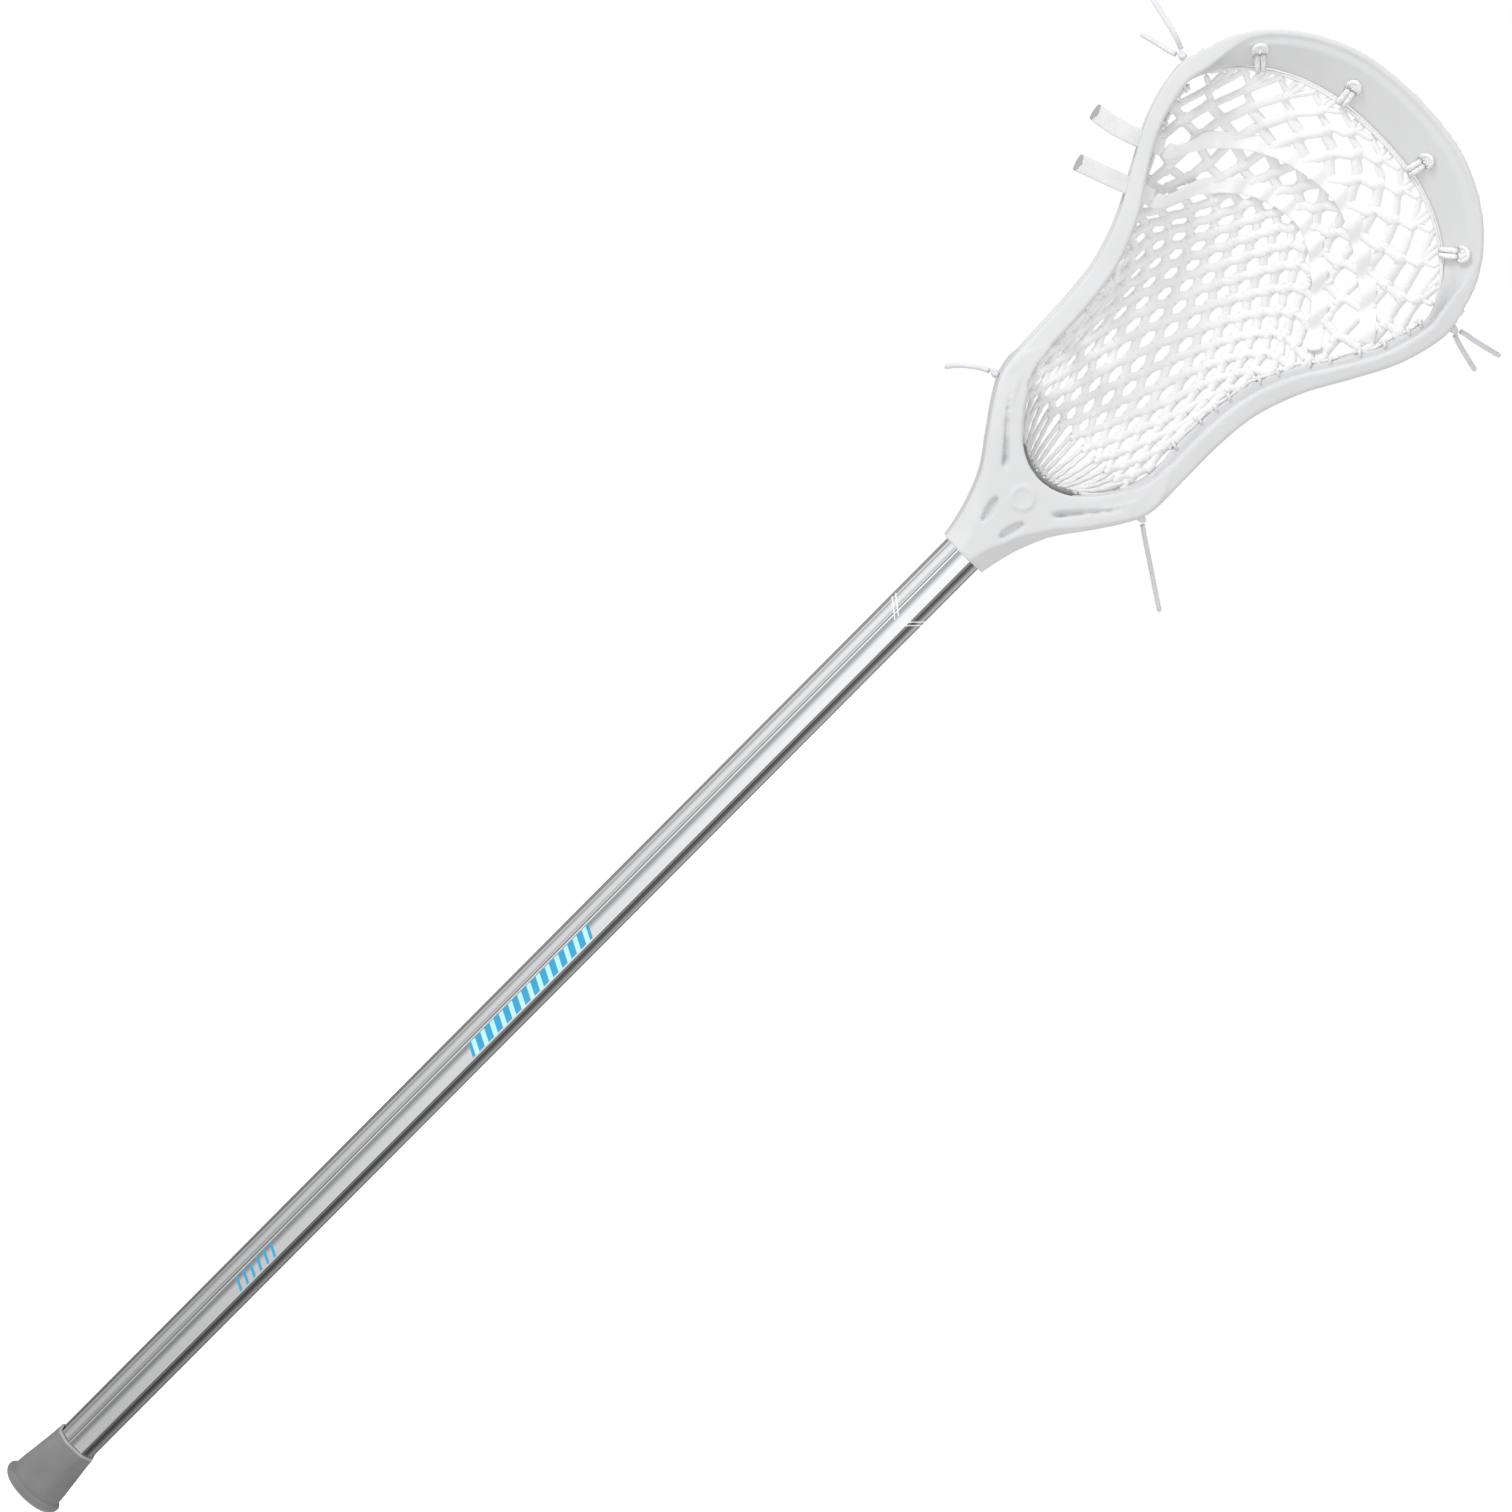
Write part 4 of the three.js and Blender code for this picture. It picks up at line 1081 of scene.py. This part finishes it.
def shooting_laces():
    for name, tail, half_span, end_z, apex_z in (
            ("shooting_lace_upper", "upper_lace_tail", 76, 941, 986),
            ("shooting_lace_lower", "lower_lace_tail", 59, 919, 964)):
        line = []
        row = net_row(16 if apex_z < 975 else 18)  # the row of holes near the lace
        places = [join[0] for join in row.values()]
        exit_x, exit_y, exit_z = LACE_TAILS[tail][0]
        for x in np.linspace(exit_x + GAP, half_span, 180):
            z = apex_z - (apex_z - end_z) * (x / half_span) ** 2
            column = np.interp(x, places, list(row))
            weave = 1.3 * math.cos(2 * math.pi * column)
            leaving = smoothstep(-x, -exit_x - 16, -exit_x)
            y = lerp(net_depth(x, z) - 2.5 + weave, exit_y, leaving)
            line.append((x, y, lerp(z + 0.5 * math.sin(2.1 * column), exit_z, leaving)))
        line = np.array(line)
        shape = Shape().sweep(line, lace_section(LACE_WIDTH - 0.3), tip_scale(line, 1.2), side=(0, 0, 1))
        obj = shape.piece(name + "_cord", LACE_YARN)
        finish_piece(obj, "stick", name)


# ---- Floor and light ---------------------------------------------------------------------------
def emitter(name, strength, dim_below=None):
    """A plain glow. With dim_below it takes its colour from the "bands" attribute, and fades to
    that share of its strength towards Z -0.95 m."""
    material = bpy.data.materials.new(name)
    material.use_nodes = True
    tree = material.node_tree
    tree.nodes.clear()
    glow = tree.nodes.new("ShaderNodeEmission")
    glow.inputs["Strength"].default_value = strength
    output = tree.nodes.new("ShaderNodeOutputMaterial")
    tree.links.new(glow.outputs["Emission"], output.inputs["Surface"])
    if dim_below is not None:
        bands = tree.nodes.new("ShaderNodeVertexColor")
        bands.layer_name = "bands"
        place = tree.nodes.new("ShaderNodeTexCoord")
        parts = tree.nodes.new("ShaderNodeSeparateXYZ")
        fade = tree.nodes.new("ShaderNodeMapRange")
        for key, value in (("From Min", -0.95), ("From Max", 0.5), ("To Min", dim_below), ("To Max", 1)):
            fade.inputs[key].default_value = value
        tree.links.new(place.outputs["Object"], parts.inputs["Vector"])
        tree.links.new(parts.outputs["Z"], fade.inputs["Value"])
        tree.links.new(fade.outputs["Result"], glow.inputs["Strength"])
        tree.links.new(bands.outputs["Color"], glow.inputs["Color"])
    return material


def floor():
    look = Look("floor_paper", (0.93, 0.93, 0.93), 0.9)
    look.glow(0.3)
    look.bump(look.noise(60, 3), 0.05, 0.0003)
    far, top = 10500, -50  # low enough to show the cap when it is pulled off
    obj = Shape().rings([
        [(-far, -far, z), (far, -far, z), (far, far, z), (-far, far, z)]
        for z in (top - 20, top)]).piece("floor", look.material, False)
    obj.visible_glossy = obj.visible_diffuse = obj.visible_shadow = False


def backdrop():
    """A white dome far behind everything, which lights nothing."""
    dome = [(20, -600), (15000, -600), (15000, 5000), (9000, 11000), (20, 13000)]
    obj = Shape().rings(lathe(dome, 48)).piece("backdrop", emitter("backdrop_paper", 1.0))
    obj.visible_glossy = obj.visible_diffuse = obj.visible_shadow = obj.visible_transmission = False


# Brightness that the metal reflects, by azimuth in degrees from -Y towards +X.
reflected = profile([
    (-180, 0.35), (-150, 0.35), (-115, 0.25), (-94, 1.05), (-86, 1.05), (-72, 0.45), (-60, 0.2),
    (-40, 0.16), (-22, 0.9), (-10, 1.15), (6, 1.15), (18, 0.5), (30, 0.2), (50, 0.12), (78, 0.5),
    (90, 0.5), (106, 0.13), (130, 0.08), (155, 0.1), (180, 0.35)])


def reflector():
    """A tall ring round the stick, in soft bands of light and dark, that only reflections see."""
    radius, low, high = 3300, -1500, 3200
    turn = np.linspace(-180, 180, 181)[:-1]
    rings = []
    for r, z in ((radius, low), (radius, high), (radius - 10, high), (radius - 10, low)):
        rings.append([(r * math.sin(a), -r * math.cos(a), z) for a in np.radians(turn)])
    obj = Shape().rings(rings, closed=True).piece("reflector", emitter("reflector_glow", 1.0, 0.5), False)
    bands = obj.data.color_attributes.new("bands", "FLOAT_COLOR", "POINT")
    one_ring = [[reflected(a)] * 3 + [1] for a in turn]
    bands.data.foreach_set("color", np.ravel(one_ring * len(rings)))
    obj.visible_camera = obj.visible_diffuse = obj.visible_shadow = obj.visible_transmission = False


def area_light(name, place, size, power, target=(0, 0, 0.8)):
    data = bpy.data.lights.new(name, "AREA")
    data.size, data.energy = size, power
    light = bpy.data.objects.new(name, data)
    light.location = place
    light.rotation_euler = (Vector(target) - Vector(place)).to_track_quat("-Z", "Y").to_euler()
    light.visible_glossy = False
    bpy.context.scene.collection.objects.link(light)


def studio():
    floor()
    backdrop()
    reflector()
    world = bpy.data.worlds.new("studio")
    bpy.context.scene.world = world
    world.use_nodes = True
    back = world.node_tree.nodes["Background"]
    back.inputs["Color"].default_value = (1, 1, 1, 1)
    back.inputs["Strength"].default_value = 0.87
    area_light("key", (-2.6, -1.6, 2.0), 1.0, 52)
    area_light("fill", (0.9, -2.6, 0.1), 1.6, 7)
    bpy.context.scene.view_settings.view_transform = "Standard"


# The foam's dark grey is painted shade: it stands for the shaded gap between the opening's lip and the
# net.
STEEL, FOAM_PAINTED_SHADE = steel(), fibre("foam", (0.2, 0.2, 0.205), 900)
head()
shaft()
end_cap()
head_screw()
ball_stop()
net()
sidewall_strings()
top_string()
bottom_string()
knots()
shooting_laces()
studio()
